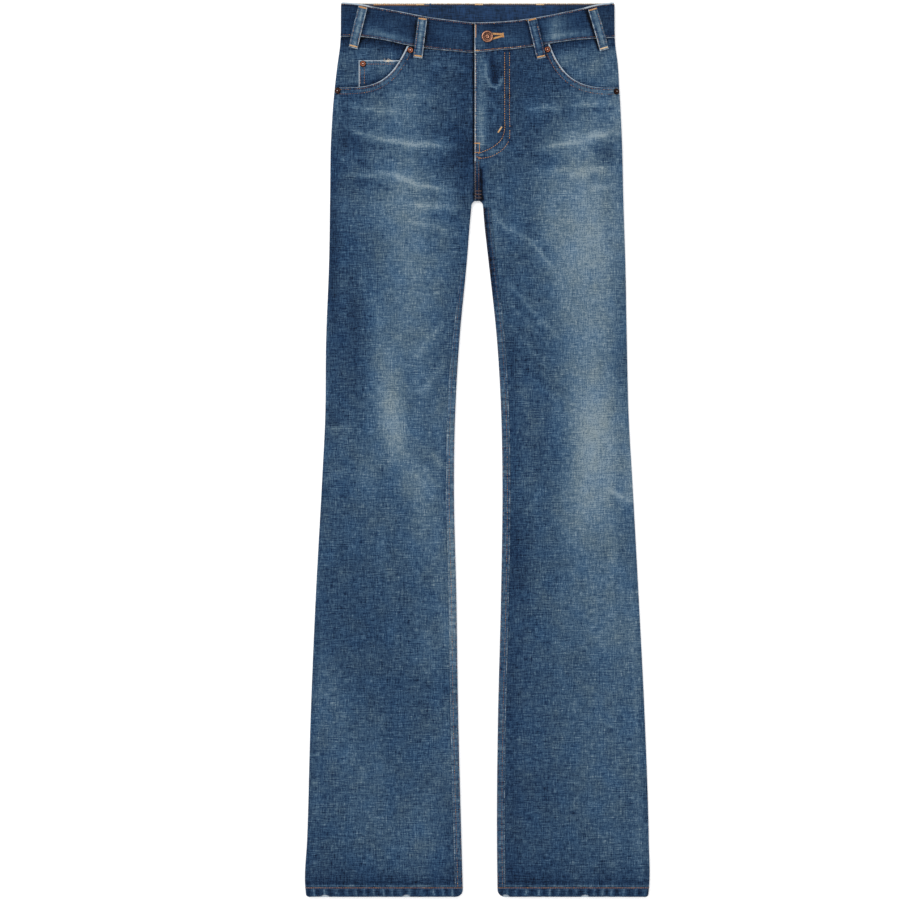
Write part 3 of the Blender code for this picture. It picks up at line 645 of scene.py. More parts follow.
side_reach = both_curves(SIDE_SEAMS)
inner_reach = both_curves(INNER_LEGS)
band_top_edge = curve_through(FRONT_BAND, 1)
band_bottom_edge = curve_through(FRONT_BAND, 2)
centre_front = curve_through(CENTRE_FRONT, 1)
top_height = curve_through(TOP_HEIGHTS, 1)
loop_arch = curve_through(LOOP_ARCH, 1)
base_wash = both_curves(BASE_WASH)


def sided(kind, side):
    """Name of a node that each side has."""
    return f"{kind}_{SIDE_NAMES[side]}"


def ease(t):
    """0 to 1 with soft ends."""
    t = np.clip(t, 0, 1)
    return t * t * (3 - 2 * t)


def edge_round(share):
    """A quarter round: 0 at the edge, 1 once share reaches 1."""
    share = np.clip(share, 0, 1)
    return np.sqrt(share * (2 - share))


def edge_drop(distance, radius):
    """How far a rounded edge falls away: 1 at the edge, 0 from the radius inwards."""
    return 1 - edge_round(distance / radius)


def bell(off, half_width):
    """1 in the middle, fading to 0 on both sides."""
    return np.exp(-(off / half_width) ** 2)


def quarter(reach, parts):
    """Distances from an edge that share a quarter round into equal angles."""
    return reach * (1 - np.cos(np.linspace(0, math.pi / 2, parts + 1)))


def lift(down):
    """Height of the back's outer face, which rests on its pockets and loops at the seat."""
    return BACK_LIFT * (1 - ease((down - LIFT_ENDS[0]) / (LIFT_ENDS[1] - LIFT_ENDS[0])))


def seam_height(down):
    """Height at which front and back meet along the side seams and inseams."""
    drop = FACING_DROP * (1 - ease((down - POCKET_END) / 20))
    return (lift(down) + top_height(down) - drop) / 2


def from_side_seam(side, across, down):
    """How far in from the side seam a place is."""
    return side_reach[side](down) - side * across


def edge_distance(side, across, down):
    """How far in from the garment's outline a place is, at its side or between the legs."""
    from_side = from_side_seam(side, across, down)
    arch = np.hypot(across, np.minimum(down - ARCH_CENTRE, 0)) - ARCH_RADIUS
    leg = side * across - inner_reach[side](down)
    between = np.where(down < ARCH_CENTRE, arch, leg)
    return np.maximum(np.minimum(from_side, between), 0)


def stroke(across, down, across_0, down_0, across_1, down_1, half_width):
    """1 on a straight line between two places, fading to 0 beside it."""
    run = (across_1 - across_0, down_1 - down_0)
    along = ((across - across_0) * run[0] + (down - down_0) * run[1]) / (run[0] ** 2 + run[1] ** 2)
    along = np.clip(along, 0, 1)
    off = np.hypot(across - across_0 - along * run[0], down - down_0 - along * run[1])
    return bell(off, half_width), along


def fold_height(across, down):
    """The solids' creases, as soft ridges and troughs."""
    total = 0.0
    for *line, half_width, rise in FOLDS:
        near, along = stroke(across, down, *line, half_width)
        total = total + rise * np.clip(6 * along * (1 - along), 0, 1) * near
    return total


def fly_height(side, across, down):
    """The flap over the fly on the left front, and the dip beside it on the right front."""
    out = across - centre_front(down)
    below = np.maximum(down - FLY_STRAIGHT, 0)
    if side == RIGHT:
        return -FLY_DIP * bell(out, 9) * (1 - ease(below / FLY_CURVE))
    curve = np.sqrt((out / FLY_REACH) ** 2 + (below / FLY_CURVE) ** 2)
    inside = (1 - curve) * FLY_REACH
    return FLY_RISE * ease(inside / FLY_SLOPE)


def pocket_mouth(side, t):
    """A point of the pocket opening and its direction: outward, down, for t from 0 to 1."""
    p = np.array(POCKET_MOUTHS[side])
    point = ((1 - t) ** 3 * p[0] + 3 * t * (1 - t) ** 2 * p[1]
             + 3 * t * t * (1 - t) * p[2] + t ** 3 * p[3])
    way = (3 * (1 - t) ** 2 * (p[1] - p[0]) + 6 * t * (1 - t) * (p[2] - p[1])
           + 3 * t * t * (p[3] - p[2]))
    return point, way / np.hypot(*way)


def mouth_line(side, inset, count=60, ends=(0.0, 1.0)):
    """The pocket opening's line, moved into the front panel, as across and down."""
    places = []
    for t in np.linspace(*ends, count):
        point, way = pocket_mouth(side, t)
        places.append((side * (point[0] - inset * way[1]), point[1] + inset * way[0]))
    return np.array(places)


# ---- creases and puckers that are too fine for the solids ----
def line_distance(across, down, places):
    """Distance from a line of close places."""
    nearest = np.full(np.shape(across), np.inf)
    for place in places:
        nearest = np.minimum(nearest, np.hypot(across - place[0], down - place[1]))
    return nearest


def smooth_line(points, step=1.0):
    """A smooth line through a few places, as across and down."""
    points = np.array(points, dtype=float)
    passed = np.concatenate(([0.0], np.cumsum(np.hypot(*np.diff(points, axis=0).T))))
    at = np.linspace(0, passed[-1], max(int(passed[-1] / step), 3))
    columns = []
    for k in range(2):
        columns.append(curve_through(np.stack((passed, points[:, k]), axis=1), 1)(at))
    return np.stack(columns, axis=-1)


def line_stroke(across, down, points, half_width):
    """1 on a line through several places, fading to 0 beside it and towards its ends."""
    lengths = [math.dist(points[k], points[k + 1]) for k in range(len(points) - 1)]
    passed = 0.0
    best = 0.0
    for k, length in enumerate(lengths):
        near, along = stroke(across, down, *points[k], *points[k + 1], half_width)
        share = (passed + along * length) / sum(lengths)
        taper = ease(share / 0.22) * ease((1 - share) / 0.22)
        best = np.maximum(best, near * taper)
        passed += length
    return best


def waves(across, down):
    """Slow uneven swells of cloth that is not quite flat."""
    return (0.20 * np.sin(across / 21 + 2.1 * np.sin(down / 190))
            + 0.16 * np.sin(down / 34 + 1.7 * np.sin(across / 60 + 0.8))
            + 0.10 * np.sin((across + 0.6 * down) / 17 + 1.3 * np.sin(down / 70)))


def pucker(along, away, reach):
    """Uneven little ripples across a sewn line, dying out with the distance from it."""
    ripple = np.sin(along * 0.82 + 1.6 * np.sin(along / 19) + 0.9 * np.sin(along / 7.3))
    return ripple * bell(away, reach)


FAR = 300                   # further from a seam than its puckers reach


def front_relief(side, across, down):
    """Fine folds of the front, on top of the solids' form."""
    distance = edge_distance(side, across, down)
    from_side = from_side_seam(side, across, down)
    from_leg = side * across - inner_reach[side](down) + FAR * (down < ARCH_CENTRE)
    inside = ease(distance / 14)
    total = waves(across, down) * inside
    for half_width, _, rise, points in CREASES:
        total = total + rise * line_stroke(across, down, points, half_width) * inside
    near_band = down - band_bottom_edge(across)
    above_hem = HEM_LINE - down
    total = total + 0.16 * pucker(across, near_band, 12) * inside
    total = total + 0.22 * pucker(across * 0.9 + 11, above_hem, 13) * inside
    total = total + 0.14 * pucker(down, from_side - 9, 7) * ease(distance / 5)
    total = total + 0.20 * pucker(down + 31, from_leg - 12, 7) * ease(distance / 5)
    return total


def front_height(side, across, down):
    """Height of the front panel's outer face with its fine folds."""
    distance = edge_distance(side, across, down)
    top = top_height(down) + fold_height(across, down) * ease(distance / 25)
    top = top + fly_height(side, across, down) + front_relief(side, across, down)
    start = seam_height(down) + GAP / 2 + SEAM_STEP
    return start + (top - start) * edge_round(distance / FRONT_ROUND)


def back_height(side, across, down):
    """Height of the back panel's outer face, which looks down."""
    distance = edge_distance(side, across, down)
    start = seam_height(down) - GAP / 2 - SEAM_STEP
    hollow = 0.0
    for crease_side, half_width, _, rise, points in BACK_CREASES:
        if crease_side == side and rise < 0:
            hollow = hollow - rise * line_stroke(side * across, down, points, half_width)
    lowest = lift(down) + hollow * ease(distance / 14)
    return start + (lowest - start) * edge_round(distance / BACK_ROUND)


def facing_height(side, across, down):
    """Height of the pocket facing's outer face, lower where the coin pocket lies on it."""
    distance = edge_distance(side, across, down)
    drop = FACING_DROP + 0 * across
    if side == RIGHT:
        drop = drop + COIN_EXTRA_DROP * ease((distance - 10) / 14)
    start = seam_height(down) + GAP / 2 + SEAM_STEP
    top = top_height(down) - drop + 0.10 * np.sin(across / 6 + down / 9) * ease(distance / 8)
    return start + (top - start) * edge_round(distance / FACING_ROUND)


def coin_height(side, across, down):
    """Height of the coin pocket's outer face. Like every surface it is asked for with a side."""
    return top_height(down) - FACING_DROP + 0.08 * np.sin(across / 4.6) * ease((down - COIN_TOP) / 6)


def lies_on(height, side, across, down, above):
    """Places moved out from a surface along its normal."""
    step = 0.2
    rise_x = (height(side, across + step, down) - height(side, across - step, down)) / (2 * step)
    rise_d = (height(side, across, down + step) - height(side, across, down - step)) / (2 * step)
    size = np.sqrt(rise_x ** 2 + rise_d ** 2 + 1)
    return (across - above * rise_x / size, down - above * rise_d / size,
            height(side, across, down) + above / size)


# ---- wash ----
def crease_fade_and_shade(across, down, points, half_width, added):
    """A crease's mark, a sharp line in a wide soft one: pale fade where added is above 0, painted shade in
    the fold where it is below 0.
    """
    sharp = line_stroke(across, down, points, half_width)
    soft = line_stroke(across, down, points, 3.2 * half_width)
    if added < 0:
        return added * (0.55 * sharp + 0.40 * soft)
    return added * (1.10 * sharp + 0.36 * soft)


def fade_band(outward, down, stations):
    """A soft band of wash whose place, width and strength change down the leg."""
    middle, inward, beyond, added = (curve_through(stations, k)(down) for k in range(1, 5))
    off = outward - middle
    return added * bell(off, np.where(off < 0, inward, beyond))


def loop_shade(across, down):
    """Painted shadow beside the belt loops."""
    total = 0.0
    for index, offset, added in LOOP_SHADES:
        across_0, down_0, across_1, down_1 = BELT_LOOPS[index]
        total = total + added * stroke(across, down, across_0 + offset, down_0 + 3,
                                       across_1 + offset, down_1 - 1, 1.8)[0]
    return total


def front_wash_and_shade(side, across, down):
    """Wash of the front panel, with painted shade under the waistband, by the fly, the belt loops and the
    left inseam, and in crease folds.
    """
    total = base_wash[side](down) + 0.015
    for band_side, stations in FADE_BANDS:
        if band_side == side:
            total = total + fade_band(side * across, down, stations)
    for *line, half_width, added in FADES:
        total = total + added * stroke(across, down, *line, half_width)[0]
    for half_width, added, _, points in CREASES:
        total = total + crease_fade_and_shade(across, down, points, half_width, added)
    # painted shadow under the waistband's lower edge
    total = total - 0.22 * bell(down - band_bottom_edge(across), 2.2)
    # painted shadow of the fly's flap on the right front, beside the centre seam
    if side == RIGHT:
        low = ease((down - 188) / 20)
        shade = bell(across - centre_front(down), 2.4 - 0.7 * low)
        total = total - (0.75 - 0.20 * low) * shade * (down < ARCH_TOP)
    from_mouth = line_distance(across, down, mouth_line(side, 0.0))
    for inset, half_width, added in MOUTH_BANDS:
        total = total + added * bell(from_mouth - inset, half_width)
    if side == LEFT:
        for places in FLY_ROWS:
            from_row = line_distance(across, down, smooth_line(places, 2.0))
            total = total - 0.18 * bell(from_row, 2.0)
        # painted shade along the left leg's inner edge below the crotch
        from_leg = across - inner_reach[side](down)
        shade = bell(from_leg, 3.2) * (down > ARCH_CENTRE) * (1 - ease((down - 360) / 80))
        total = total - 0.20 * shade
    from_side = from_side_seam(side, across, down)
    seam_print = bell(from_side - 11.0, 1.6) * ease((down - 700) / 200)
    total = total + 0.10 * seam_print - 0.05 * bell(from_side, 6)
    above_hem = HEM_LINE - down
    patchy = 0.8 + 0.3 * np.sin(across / 7) * np.sin(across / 17 + side)
    total = total + 0.46 * patchy * bell(above_hem - 1.4, 1.0)
    # a darker band above the hem, and painted shadow beside the belt loops
    total = total - 0.11 * bell(above_hem - 6, 3.0) + loop_shade(across, down)
    ticks = pucker(across, down - band_bottom_edge(across), 12)
    ticks = ticks + pucker(across * 0.9 + 11, above_hem, 13)
    return total + 0.07 * ticks


def back_wash_and_shade(side, across, down):
    """Wash of the back panel, with painted shade in the folds of its creases."""
    total = base_wash[side](down)
    for *line, half_width, added in BACK_FADES:
        total = total + added * stroke(side * across, down, *line, half_width)[0]
    for crease_side, half_width, added, _, points in BACK_CREASES:
        if crease_side == side:
            total = total + crease_fade_and_shade(side * across, down, points, half_width, added)
    return total


# ---- making meshes ----
def world(across, down, height):
    """Points in metres from places on the garment."""
    across, down, height = np.broadcast_arrays(across, down, height)
    return np.stack((across, LENGTH / 2 - down, height), axis=-1) * MM


def add_piece(name, points, faces, attributes, material, smooth_angle=50):
    """A mesh object of the garment with values at its points, smooth but for sharp edges."""
    mesh = bpy.data.meshes.new(name)
    mesh.from_pydata(points.tolist(), [], faces)
    for key, values in attributes.items():
        kind = "FLOAT_VECTOR" if values.ndim == 2 else "FLOAT"
        attribute = mesh.attributes.new(key, kind, "POINT")
        field = "vector" if values.ndim == 2 else "value"
        attribute.data.foreach_set(field, values.astype(np.float32).ravel())
    mesh.polygons.foreach_set("use_smooth", np.ones(len(mesh.polygons), dtype=bool))
    mesh.set_sharp_from_angle(angle=math.radians(smooth_angle))
    mesh.materials.append(material)
    thing = bpy.data.objects.new(name, mesh)
    bpy.context.scene.collection.objects.link(thing)
    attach(thing, "root")
    return thing


faces_of = {}               # each cloth piece's outer points and normals, for the sewing on it


def grid_faces(rows, columns, ring, first=0):
    """Quads over a grid of points, closed across its last column if it is a ring."""
    i, j = np.meshgrid(np.arange(rows - 1), np.arange(columns if ring else columns - 1), indexing="ij")
    k = (j + 1) % columns
    corners = (i * columns + j, (i + 1) * columns + j, (i + 1) * columns + k, i * columns + k)
    return first + np.stack(corners, axis=-1).reshape(-1, 4)


def grid_normals(points, ring):
    """Unit normals of a grid of points."""
    if ring:
        wrapped = np.concatenate((points[:, -1:], points, points[:, :1]), axis=1)
        along_row = (wrapped[:, 2:] - wrapped[:, :-2])
    else:
        along_row = np.gradient(points, axis=1)
    along_column = np.gradient(points, axis=0)
    normals = np.cross(along_column, along_row)
    return normals / np.maximum(np.linalg.norm(normals, axis=-1, keepdims=True), 1e-12)


def add_cloth(name, grid, wall, material, cloth, wash_and_shade, wear=0.0, looks=1, probe=None, ring=False):
    """Cloth of one thickness behind a grid of places (across, down, height).

    cloth is where each point lies on the flat cloth, in millimetres along the weft and the
    warp. looks is 1 if the grid's face at the probe, a row and a column, looks up.
    """
    points = world(*grid)
    rows, columns = points.shape[:2]
    row, column = probe or (rows // 2, columns // 2)
    normals = grid_normals(points, ring)
    flip = normals[row, column, 2] * looks < 0
    if flip:
        normals = -normals
    inner = points - normals * wall * MM
    if ring:
        inner[..., 1] = np.clip(inner[..., 1], points[..., 1].min(), points[..., 1].max())
    count = rows * columns
    outer_faces = grid_faces(rows, columns, ring)
    inner_faces = outer_faces[:, ::-1] + count
    index = np.arange(count).reshape(rows, columns)
    rims = [(index[0], False), (index[-1], True)]
    if not ring:
        rims += [(index[:, 0], True), (index[:, -1], False)]
    rim_faces = []
    for line, turned in rims:
        line = np.append(line, line[0]) if ring else line
        quads = np.stack((line[:-1], line[1:], line[1:] + count, line[:-1] + count), axis=-1)
        rim_faces.append(quads[:, ::-1] if turned else quads)
    faces = np.concatenate([outer_faces, inner_faces, *rim_faces])
    if flip:
        faces = faces[:, ::-1]
    cloth_points = np.stack(np.broadcast_arrays(*cloth, 0.0 * grid[0]), axis=-1).reshape(-1, 3) * MM
    values = {
        "cloth": np.concatenate((cloth_points, cloth_points)),
        "wash_and_shade": np.tile(np.broadcast_to(wash_and_shade, (rows, columns)).ravel(), 2),
        "wear": np.tile(np.broadcast_to(wear, (rows, columns)).ravel(), 2),
        "inside": np.repeat((0.0, 1.0), count),
    }
    faces_of[name] = (points, normals)
    both = np.concatenate((points.reshape(-1, 3), inner.reshape(-1, 3)))
    piece = add_piece(name, both, faces.tolist(), values, material)
    piece["flat_width"] = float(row_lengths(points, ring).max())
    piece["flat_length"] = float(np.linalg.norm(np.diff(points, axis=0), axis=-1).sum(axis=0).max())
    a = points.reshape(-1, 3)[outer_faces]
    diagonals = np.cross(a[:, 2] - a[:, 0], a[:, 3] - a[:, 1])
    piece["flat_area"] = float(np.linalg.norm(diagonals, axis=1).sum() / 2)
    return piece


def row_lengths(points, ring):
    """Length of each row of a grid of points."""
    if ring:
        points = np.concatenate((points, points[:, :1]), axis=1)
    return np.linalg.norm(np.diff(points, axis=1), axis=-1).sum(axis=1)


def lay(node):
    """Hides the solid that a cloth piece stands for."""
    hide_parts(node)


def make_cloth(node, grid, wall, cloth, wash_and_shade, wear=0.0, rests_on=(), material=None, slot="denim",
               **shape):
    """A solid's cloth, made in the solid's place; the solid is hidden.

    Pieces that touch have different numbers added to their places on the flat cloth, so that
    the weave of one does not run on in the next.
    """
    piece = add_cloth(node + "_cloth", grid, wall, material or cloth_material, cloth, wash_and_shade, wear, **shape)
    lay(node)


# ---- materials ----
def srgb(red, green, blue):
    """A linear colour from 8-bit sRGB values."""
    linear = []
    for value in (red / 255, green / 255, blue / 255):
        linear.append(value / 12.92 if value <= 0.04045 else ((value + 0.055) / 1.055) ** 2.4)
    return (*linear, 1.0)


def add_node(tree, kind, inputs=None, **settings):
    """A shader node with its settings, and a value or a link on each named input."""
    made = tree.nodes.new(kind)
    for key, value in settings.items():
        setattr(made, key, value)
    for key, value in (inputs or {}).items():
        if isinstance(value, bpy.types.NodeSocket):
            tree.links.new(value, made.inputs[key])
        else:
            made.inputs[key].default_value = value
    return made


def maths(tree, operation, first, second=0.0, third=0.0):
    made = add_node(tree, "ShaderNodeMath", {0: first, 1: second, 2: third}, operation=operation)
    return made.outputs[0]


def value_of(tree, name):
    """A named value of the mesh's points."""
    return add_node(tree, "ShaderNodeAttribute", attribute_name=name).outputs["Fac"]


def noise(tree, place, sizes, detail=2.0):
    """Noise with blotches of the given sizes in millimetres."""
    scaled = add_node(tree, "ShaderNodeVectorMath", {0: place, 1: [1 / (size * MM) for size in sizes]},
                      operation="MULTIPLY")
    made = add_node(tree, "ShaderNodeTexNoise", {"Vector": scaled.outputs[0], "Scale": 1.0,
                                                 "Detail": detail, "Roughness": 0.55})
    return made.outputs[0]


def colour_ramp(tree, factor, stops):
    """A colour ramp through stops of (position, sRGB colour)."""
    made = add_node(tree, "ShaderNodeValToRGB", {0: factor})
    elements = made.color_ramp.elements
    while len(elements) < len(stops):
        elements.new(0.5)
    for element, (position, colour) in zip(elements, stops):
        element.position = position
        element.color = srgb(*colour)
    return made.outputs[0]


def mix_colour(tree, factor, first, second):
    made = add_node(tree, "ShaderNodeMix", {0: factor}, data_type="RGBA")
    for socket, value in ((6, first), (7, second)):
        if isinstance(value, bpy.types.NodeSocket):
            tree.links.new(value, made.inputs[socket])
        else:
            made.inputs[socket].default_value = value
    return made.outputs[2]


def rescale(tree, value, low, high, to_low=0.0, to_high=1.0):
    """A value carried from one range into another and held at its ends."""
    made = add_node(tree, "ShaderNodeMapRange", {0: value, 1: low, 2: high, 3: to_low, 4: to_high},
                    clamp=True)
    return made.outputs[0]


def add_swings(tree, start, parts):
    """A start value with each part's swing about one half added at its weight."""
    for part, weight in parts:
        start = maths(tree, "MULTIPLY_ADD", maths(tree, "SUBTRACT", part, 0.5), weight, start)
    return start


def object_place(tree):
    return add_node(tree, "ShaderNodeTexCoord").outputs["Object"]


def new_material(name, roughness, metallic=0.0):
    material = bpy.data.materials.new(name)
    material.use_nodes = True
    shader = material.node_tree.nodes["Principled BSDF"]
    shader.inputs["Roughness"].default_value = roughness
    shader.inputs["Metallic"].default_value = metallic
    return material, material.node_tree, shader


def add_relief(tree, shader, height, strength, distance):
    """Relief that is finer than the mesh."""
    bump = add_node(tree, "ShaderNodeBump", {"Strength": strength, "Distance": distance, "Height": height})
    tree.links.new(bump.outputs[0], shader.inputs["Normal"])


# cool colours by wash; the stop at -0.25, darker than any wash, is for painted shadow
COOL_WASH_AND_SHADE = (
    (-0.25, (5, 10, 22)),
    (0.00, (14, 35, 64)),
    (0.25, (33, 59, 89)),
    (0.50, (53, 82, 111)),
    (0.75, (83, 110, 134)),
    (1.00, (126, 147, 164)),
)
# warm colours by wash; the stop at -0.25 is for painted shadow
WARM_WASH_AND_SHADE = (
    (-0.25, (7, 10, 18)),
    (0.00, (19, 36, 58)),
    (0.25, (41, 61, 84)),
    (0.50, (67, 87, 102)),
    (0.75, (99, 116, 124)),
    (1.00, (141, 152, 153)),
)
WORN_EDGE = (166, 178, 188)
REVERSE = (118, 132, 147)
TWILL_PITCH = 0.95
TWILL_WAY = (0.84, 0.54)    # across the twill's diagonal, along the weft and the warp
DENIM_NOISE = (
    # size along the weft and along the warp, in millimetres; detail
    (12.0, 1.4, 1.0),       # weft threads
    (1.4, 9.5, 1.0),        # warp threads
    (46.0, 1.6, 1.0),       # long weft slubs
    (1.7, 56.0, 1.0),       # long warp slubs
    (1.7, 1.6, 2.0),        # grain
    (30.0, 44.0, 3.0),      # patches of wash
    (30.0, 38.0, 2.0),      # patches of yellowing
    (11.0, 13.0, 1.0),      # stretches of coarser cloth
)
NOISE_DEPTH = 50.0


def wash_and_shade_ramp(tree, wash_and_shade, stops):
    """Colours of cloth for a value of wash and painted shade, from the table's first stop to its last."""
    low, high = stops[0][0], stops[-1][0]
    shares = [((level - low) / (high - low), colour) for level, colour in stops]
    return colour_ramp(tree, rescale(tree, wash_and_shade, low, high), shares)


def denim(name, slub=0.5, reverse=REVERSE):
    """Washed indigo twill: uneven threads both ways, faded high spots, rubbed edges, and the painted shade
    that comes with the wash value.
    """
    material, tree, shader = new_material(name, 0.9)
    place = add_node(tree, "ShaderNodeAttribute", attribute_name="cloth").outputs["Vector"]
    weft, warp, long_weft, long_warp, grain, patches, yellowing, coarse = (
        noise(tree, place, (along_weft, along_warp, NOISE_DEPTH), detail)
        for along_weft, along_warp, detail in DENIM_NOISE)
    ribs = [way / (TWILL_PITCH * MM) for way in TWILL_WAY]
    diagonal = add_node(tree, "ShaderNodeVectorMath", {0: place, 1: (*ribs, 0)}, operation="DOT_PRODUCT")
    turns = maths(tree, "MULTIPLY", diagonal.outputs["Value"], 2 * math.pi)
    twill = maths(tree, "SINE", turns)

    wash_and_shade = value_of(tree, "wash_and_shade")
    woven = add_swings(tree, 0.0, ((weft, 0.86), (warp, 0.80), (long_weft, 0.34), (long_warp, 0.33)))
    strength = rescale(tree, coarse, 0.35, 0.65, 0.85, 1.15)
    in_dark = rescale(tree, wash_and_shade, 0.0, 0.3, 0.62, 1.0)
    in_pale = rescale(tree, wash_and_shade, 0.4, 1.0, 1.0, 0.42)
    strength = maths(tree, "MULTIPLY", maths(tree, "MULTIPLY", strength, in_dark), in_pale)
    woven = maths(tree, "MULTIPLY", woven, strength)
    total = maths(tree, "MULTIPLY_ADD", woven, 2.25 * slub, wash_and_shade)
    total = add_swings(tree, total, ((grain, slub * 1.8), (patches, 0.09)))
    total = maths(tree, "MULTIPLY_ADD", twill, 0.035, total)
    warmth = rescale(tree, yellowing, 0.30, 0.75, 0.0, 0.7)
    warmth = maths(tree, "ADD", warmth, rescale(tree, wash_and_shade, 0.55, 0.95, 0.0, 0.12))
    colour = mix_colour(tree, warmth, wash_and_shade_ramp(tree, total, COOL_WASH_AND_SHADE), wash_and_shade_ramp(tree, total, WARM_WASH_AND_SHADE))

    wear = value_of(tree, "wear")
    broken = maths(tree, "MULTIPLY_ADD", woven, 0.7, wear)
    broken = add_swings(tree, broken, ((grain, 1.1), (coarse, 0.7)))
    edges_only = rescale(tree, wear, 0.05, 0.4)
    rubbed = maths(tree, "MULTIPLY", rescale(tree, broken, 0.32, 1.0), edges_only)
    colour = mix_colour(tree, rubbed, colour, srgb(*WORN_EDGE))
    mottle = rescale(tree, maths(tree, "MULTIPLY_ADD", woven, 1.6, patches), 0.25, 0.75)
    dark_side, pale_side = (srgb(*[level * part for part in reverse]) for level in (0.72, 1.28))
    behind = mix_colour(tree, mottle, dark_side, pale_side)
    colour = mix_colour(tree, value_of(tree, "inside"), colour, behind)
    tree.links.new(colour, shader.inputs["Base Color"])

    threads = maths(tree, "MULTIPLY_ADD", twill, 0.22, maths(tree, "MULTIPLY", woven, 1.6))
    add_relief(tree, shader, maths(tree, "MULTIPLY_ADD", grain, 0.6, threads), 0.6, 0.0005)
    shader.inputs["Sheen Weight"].default_value = 0.03
    shader.inputs["Sheen Roughness"].default_value = 0.5
    shader.inputs["Specular IOR Level"].default_value = 0.1
    return material


THREAD_COLOURS = (
    (0.0, (22, 20, 24)),
    (0.15, (82, 58, 48)),
    (0.35, (136, 90, 64)),
    (0.6, (196, 142, 78)),
    (0.8, (214, 184, 138)),
    (1.0, (232, 226, 214)),
)


def thread_material():
    """Sewing thread, spun from two plies, with its own tone in each stitch."""
    material, tree, shader = new_material("thread", 0.75)
    fibre = noise(tree, object_place(tree), (0.5, 0.5, 0.5))
    tone = add_swings(tree, value_of(tree, "tone"), ((fibre, 0.5),))
    tree.links.new(colour_ramp(tree, tone, THREAD_COLOURS), shader.inputs["Base Color"])
    add_relief(tree, shader, fibre, 0.4, 0.0001)
    shader.inputs["Sheen Weight"].default_value = 0.2
    return material


def metal(name, dark, bright, roughness=0.42):
    """Aged plated metal, darker in blotches and along fine scratches."""
    material, tree, shader = new_material(name, roughness, 1.0)
    place = object_place(tree)
    blotch = noise(tree, place, (1.6, 1.6, 1.6), 4.0)
    scratch = noise(tree, place, (0.12, 2.4, 1.0))
    mixed = maths(tree, "MULTIPLY_ADD", scratch, 0.35, maths(tree, "MULTIPLY", blotch, 0.75))
    mixed = maths(tree, "ADD", mixed, value_of(tree, "polish"))
    polished = [0.5 * part + 125 for part in bright]
    stops = ((0.0, dark), (0.43, bright), (0.62, bright), (1.0, polished))
    colour = colour_ramp(tree, rescale(tree, mixed, 0.36, 1.1), stops)
    tree.links.new(colour, shader.inputs["Base Color"])
    rough = rescale(tree, blotch, 0.3, 0.7, roughness + 0.15, roughness - 0.1)
    tree.links.new(rough, shader.inputs["Roughness"])
    add_relief(tree, shader, mixed, 0.3, 0.00015)
    return material


def zip_tape_material():
    """Woven tape with a coarse weave."""
    material, tree, shader = new_material("zip_tape_weave", 0.85)
    weave = noise(tree, object_place(tree), (0.5, 1.6, 0.5))
    colour = colour_ramp(tree, weave, ((0.3, (26, 34, 48)), (0.7, (52, 62, 78))))
    tree.links.new(colour, shader.inputs["Base Color"])
    return material


cloth_material = denim("washed_denim")
band_material = denim("waistband_denim", 0.36, (30, 50, 78))
loop_material = denim("belt_loop_denim", 0.45)
thread = thread_material()
copper = metal("aged_copper", (34, 18, 16), (168, 104, 80), 0.45)
# a darker copy of the copper, whose darkness is painted shade for the side rivets that turn away
shaded_copper = metal("shaded_copper", (16, 12, 12), (72, 46, 40))
button_copper = metal("button_copper", (56, 36, 34), (176, 128, 104), 0.4)
brass = metal("plain_brass", (92, 70, 38), (190, 156, 96))
zip_tape = zip_tape_material()


# ---- panels ----
EDGE_ROW = 0.2              # distance of the first row of points from a free edge


def row_places(outer, inner, places):
    """Places on the straight line between two ends, at distances from the outer one."""
    outer = np.array(outer)
    inner = np.array(inner)
    way = (inner - outer) / np.hypot(*(inner - outer))
    return outer[0] + way[0] * places, outer[1] + way[1] * places


def inner_end(side, down, centre):
    """Inner end of a panel's row: the centre seam, the arch, or the leg's inner edge."""
    if down <= ARCH_TOP:
        return centre + side * GAP / 2
    if down < ARCH_CENTRE:
        return side * ARCH_RADIUS * edge_round((down - ARCH_TOP) / ARCH_RADIUS)
    return side * inner_reach[side](down)


def panel_stations(start, step):
    """Rows down a panel from the start to the hem, closer round the arch between the legs."""
    above = np.linspace(start, ARCH_TOP - 0.5, round((ARCH_TOP - start) / step))
    arch = ARCH_TOP + quarter(ARCH_RADIUS, 7)
    hem_edge = HEM_LINE - GAP
    below = np.linspace(ARCH_CENTRE + step, hem_edge, round((hem_edge - ARCH_CENTRE) / step))
    below = np.union1d(below, hem_edge - np.array((0.7, 1.4, 2.2)))
    return np.concatenate((above, arch, below))


FRONT_SLANT = 42.0          # a row's inner end lies this much lower at the pocket's end
SEAT = POCKET_END + FRONT_SLANT


def front_row_ends(side):
    """Ends of the front panel's rows: outer place, inner place, on the side seam, on the leg."""
    ends = []
    start = band_bottom_edge(centre_front(60)) + GAP
    for t in np.linspace(0, 0.99, 42):
        point, _ = pocket_mouth(side, t)
        down = start + (SEAT - start) * t
        inner = (inner_end(side, down, centre_front(down)), down)
        ends.append(((side * point[0], point[1]), inner, False, False))
    for down in panel_stations(SEAT, 3.1):
        fade = 1 - ease((down - SEAT) / (ARCH_CENTRE - SEAT))
        outer_down = down - FRONT_SLANT * fade
        outer = (side * side_reach[side](outer_down), outer_down)
        inner = (inner_end(side, down, centre_front(down)), down)
        ends.append((outer, inner, True, down >= ARCH_TOP))
    return ends


def level(outer, inner, edge):
    """Ends of a straight line under a curved edge, in the order that np.interp needs."""
    ends = sorted((float(outer[0]), float(inner[0])))
    return ends, [float(edge(ends[0])), float(edge(ends[1]))]


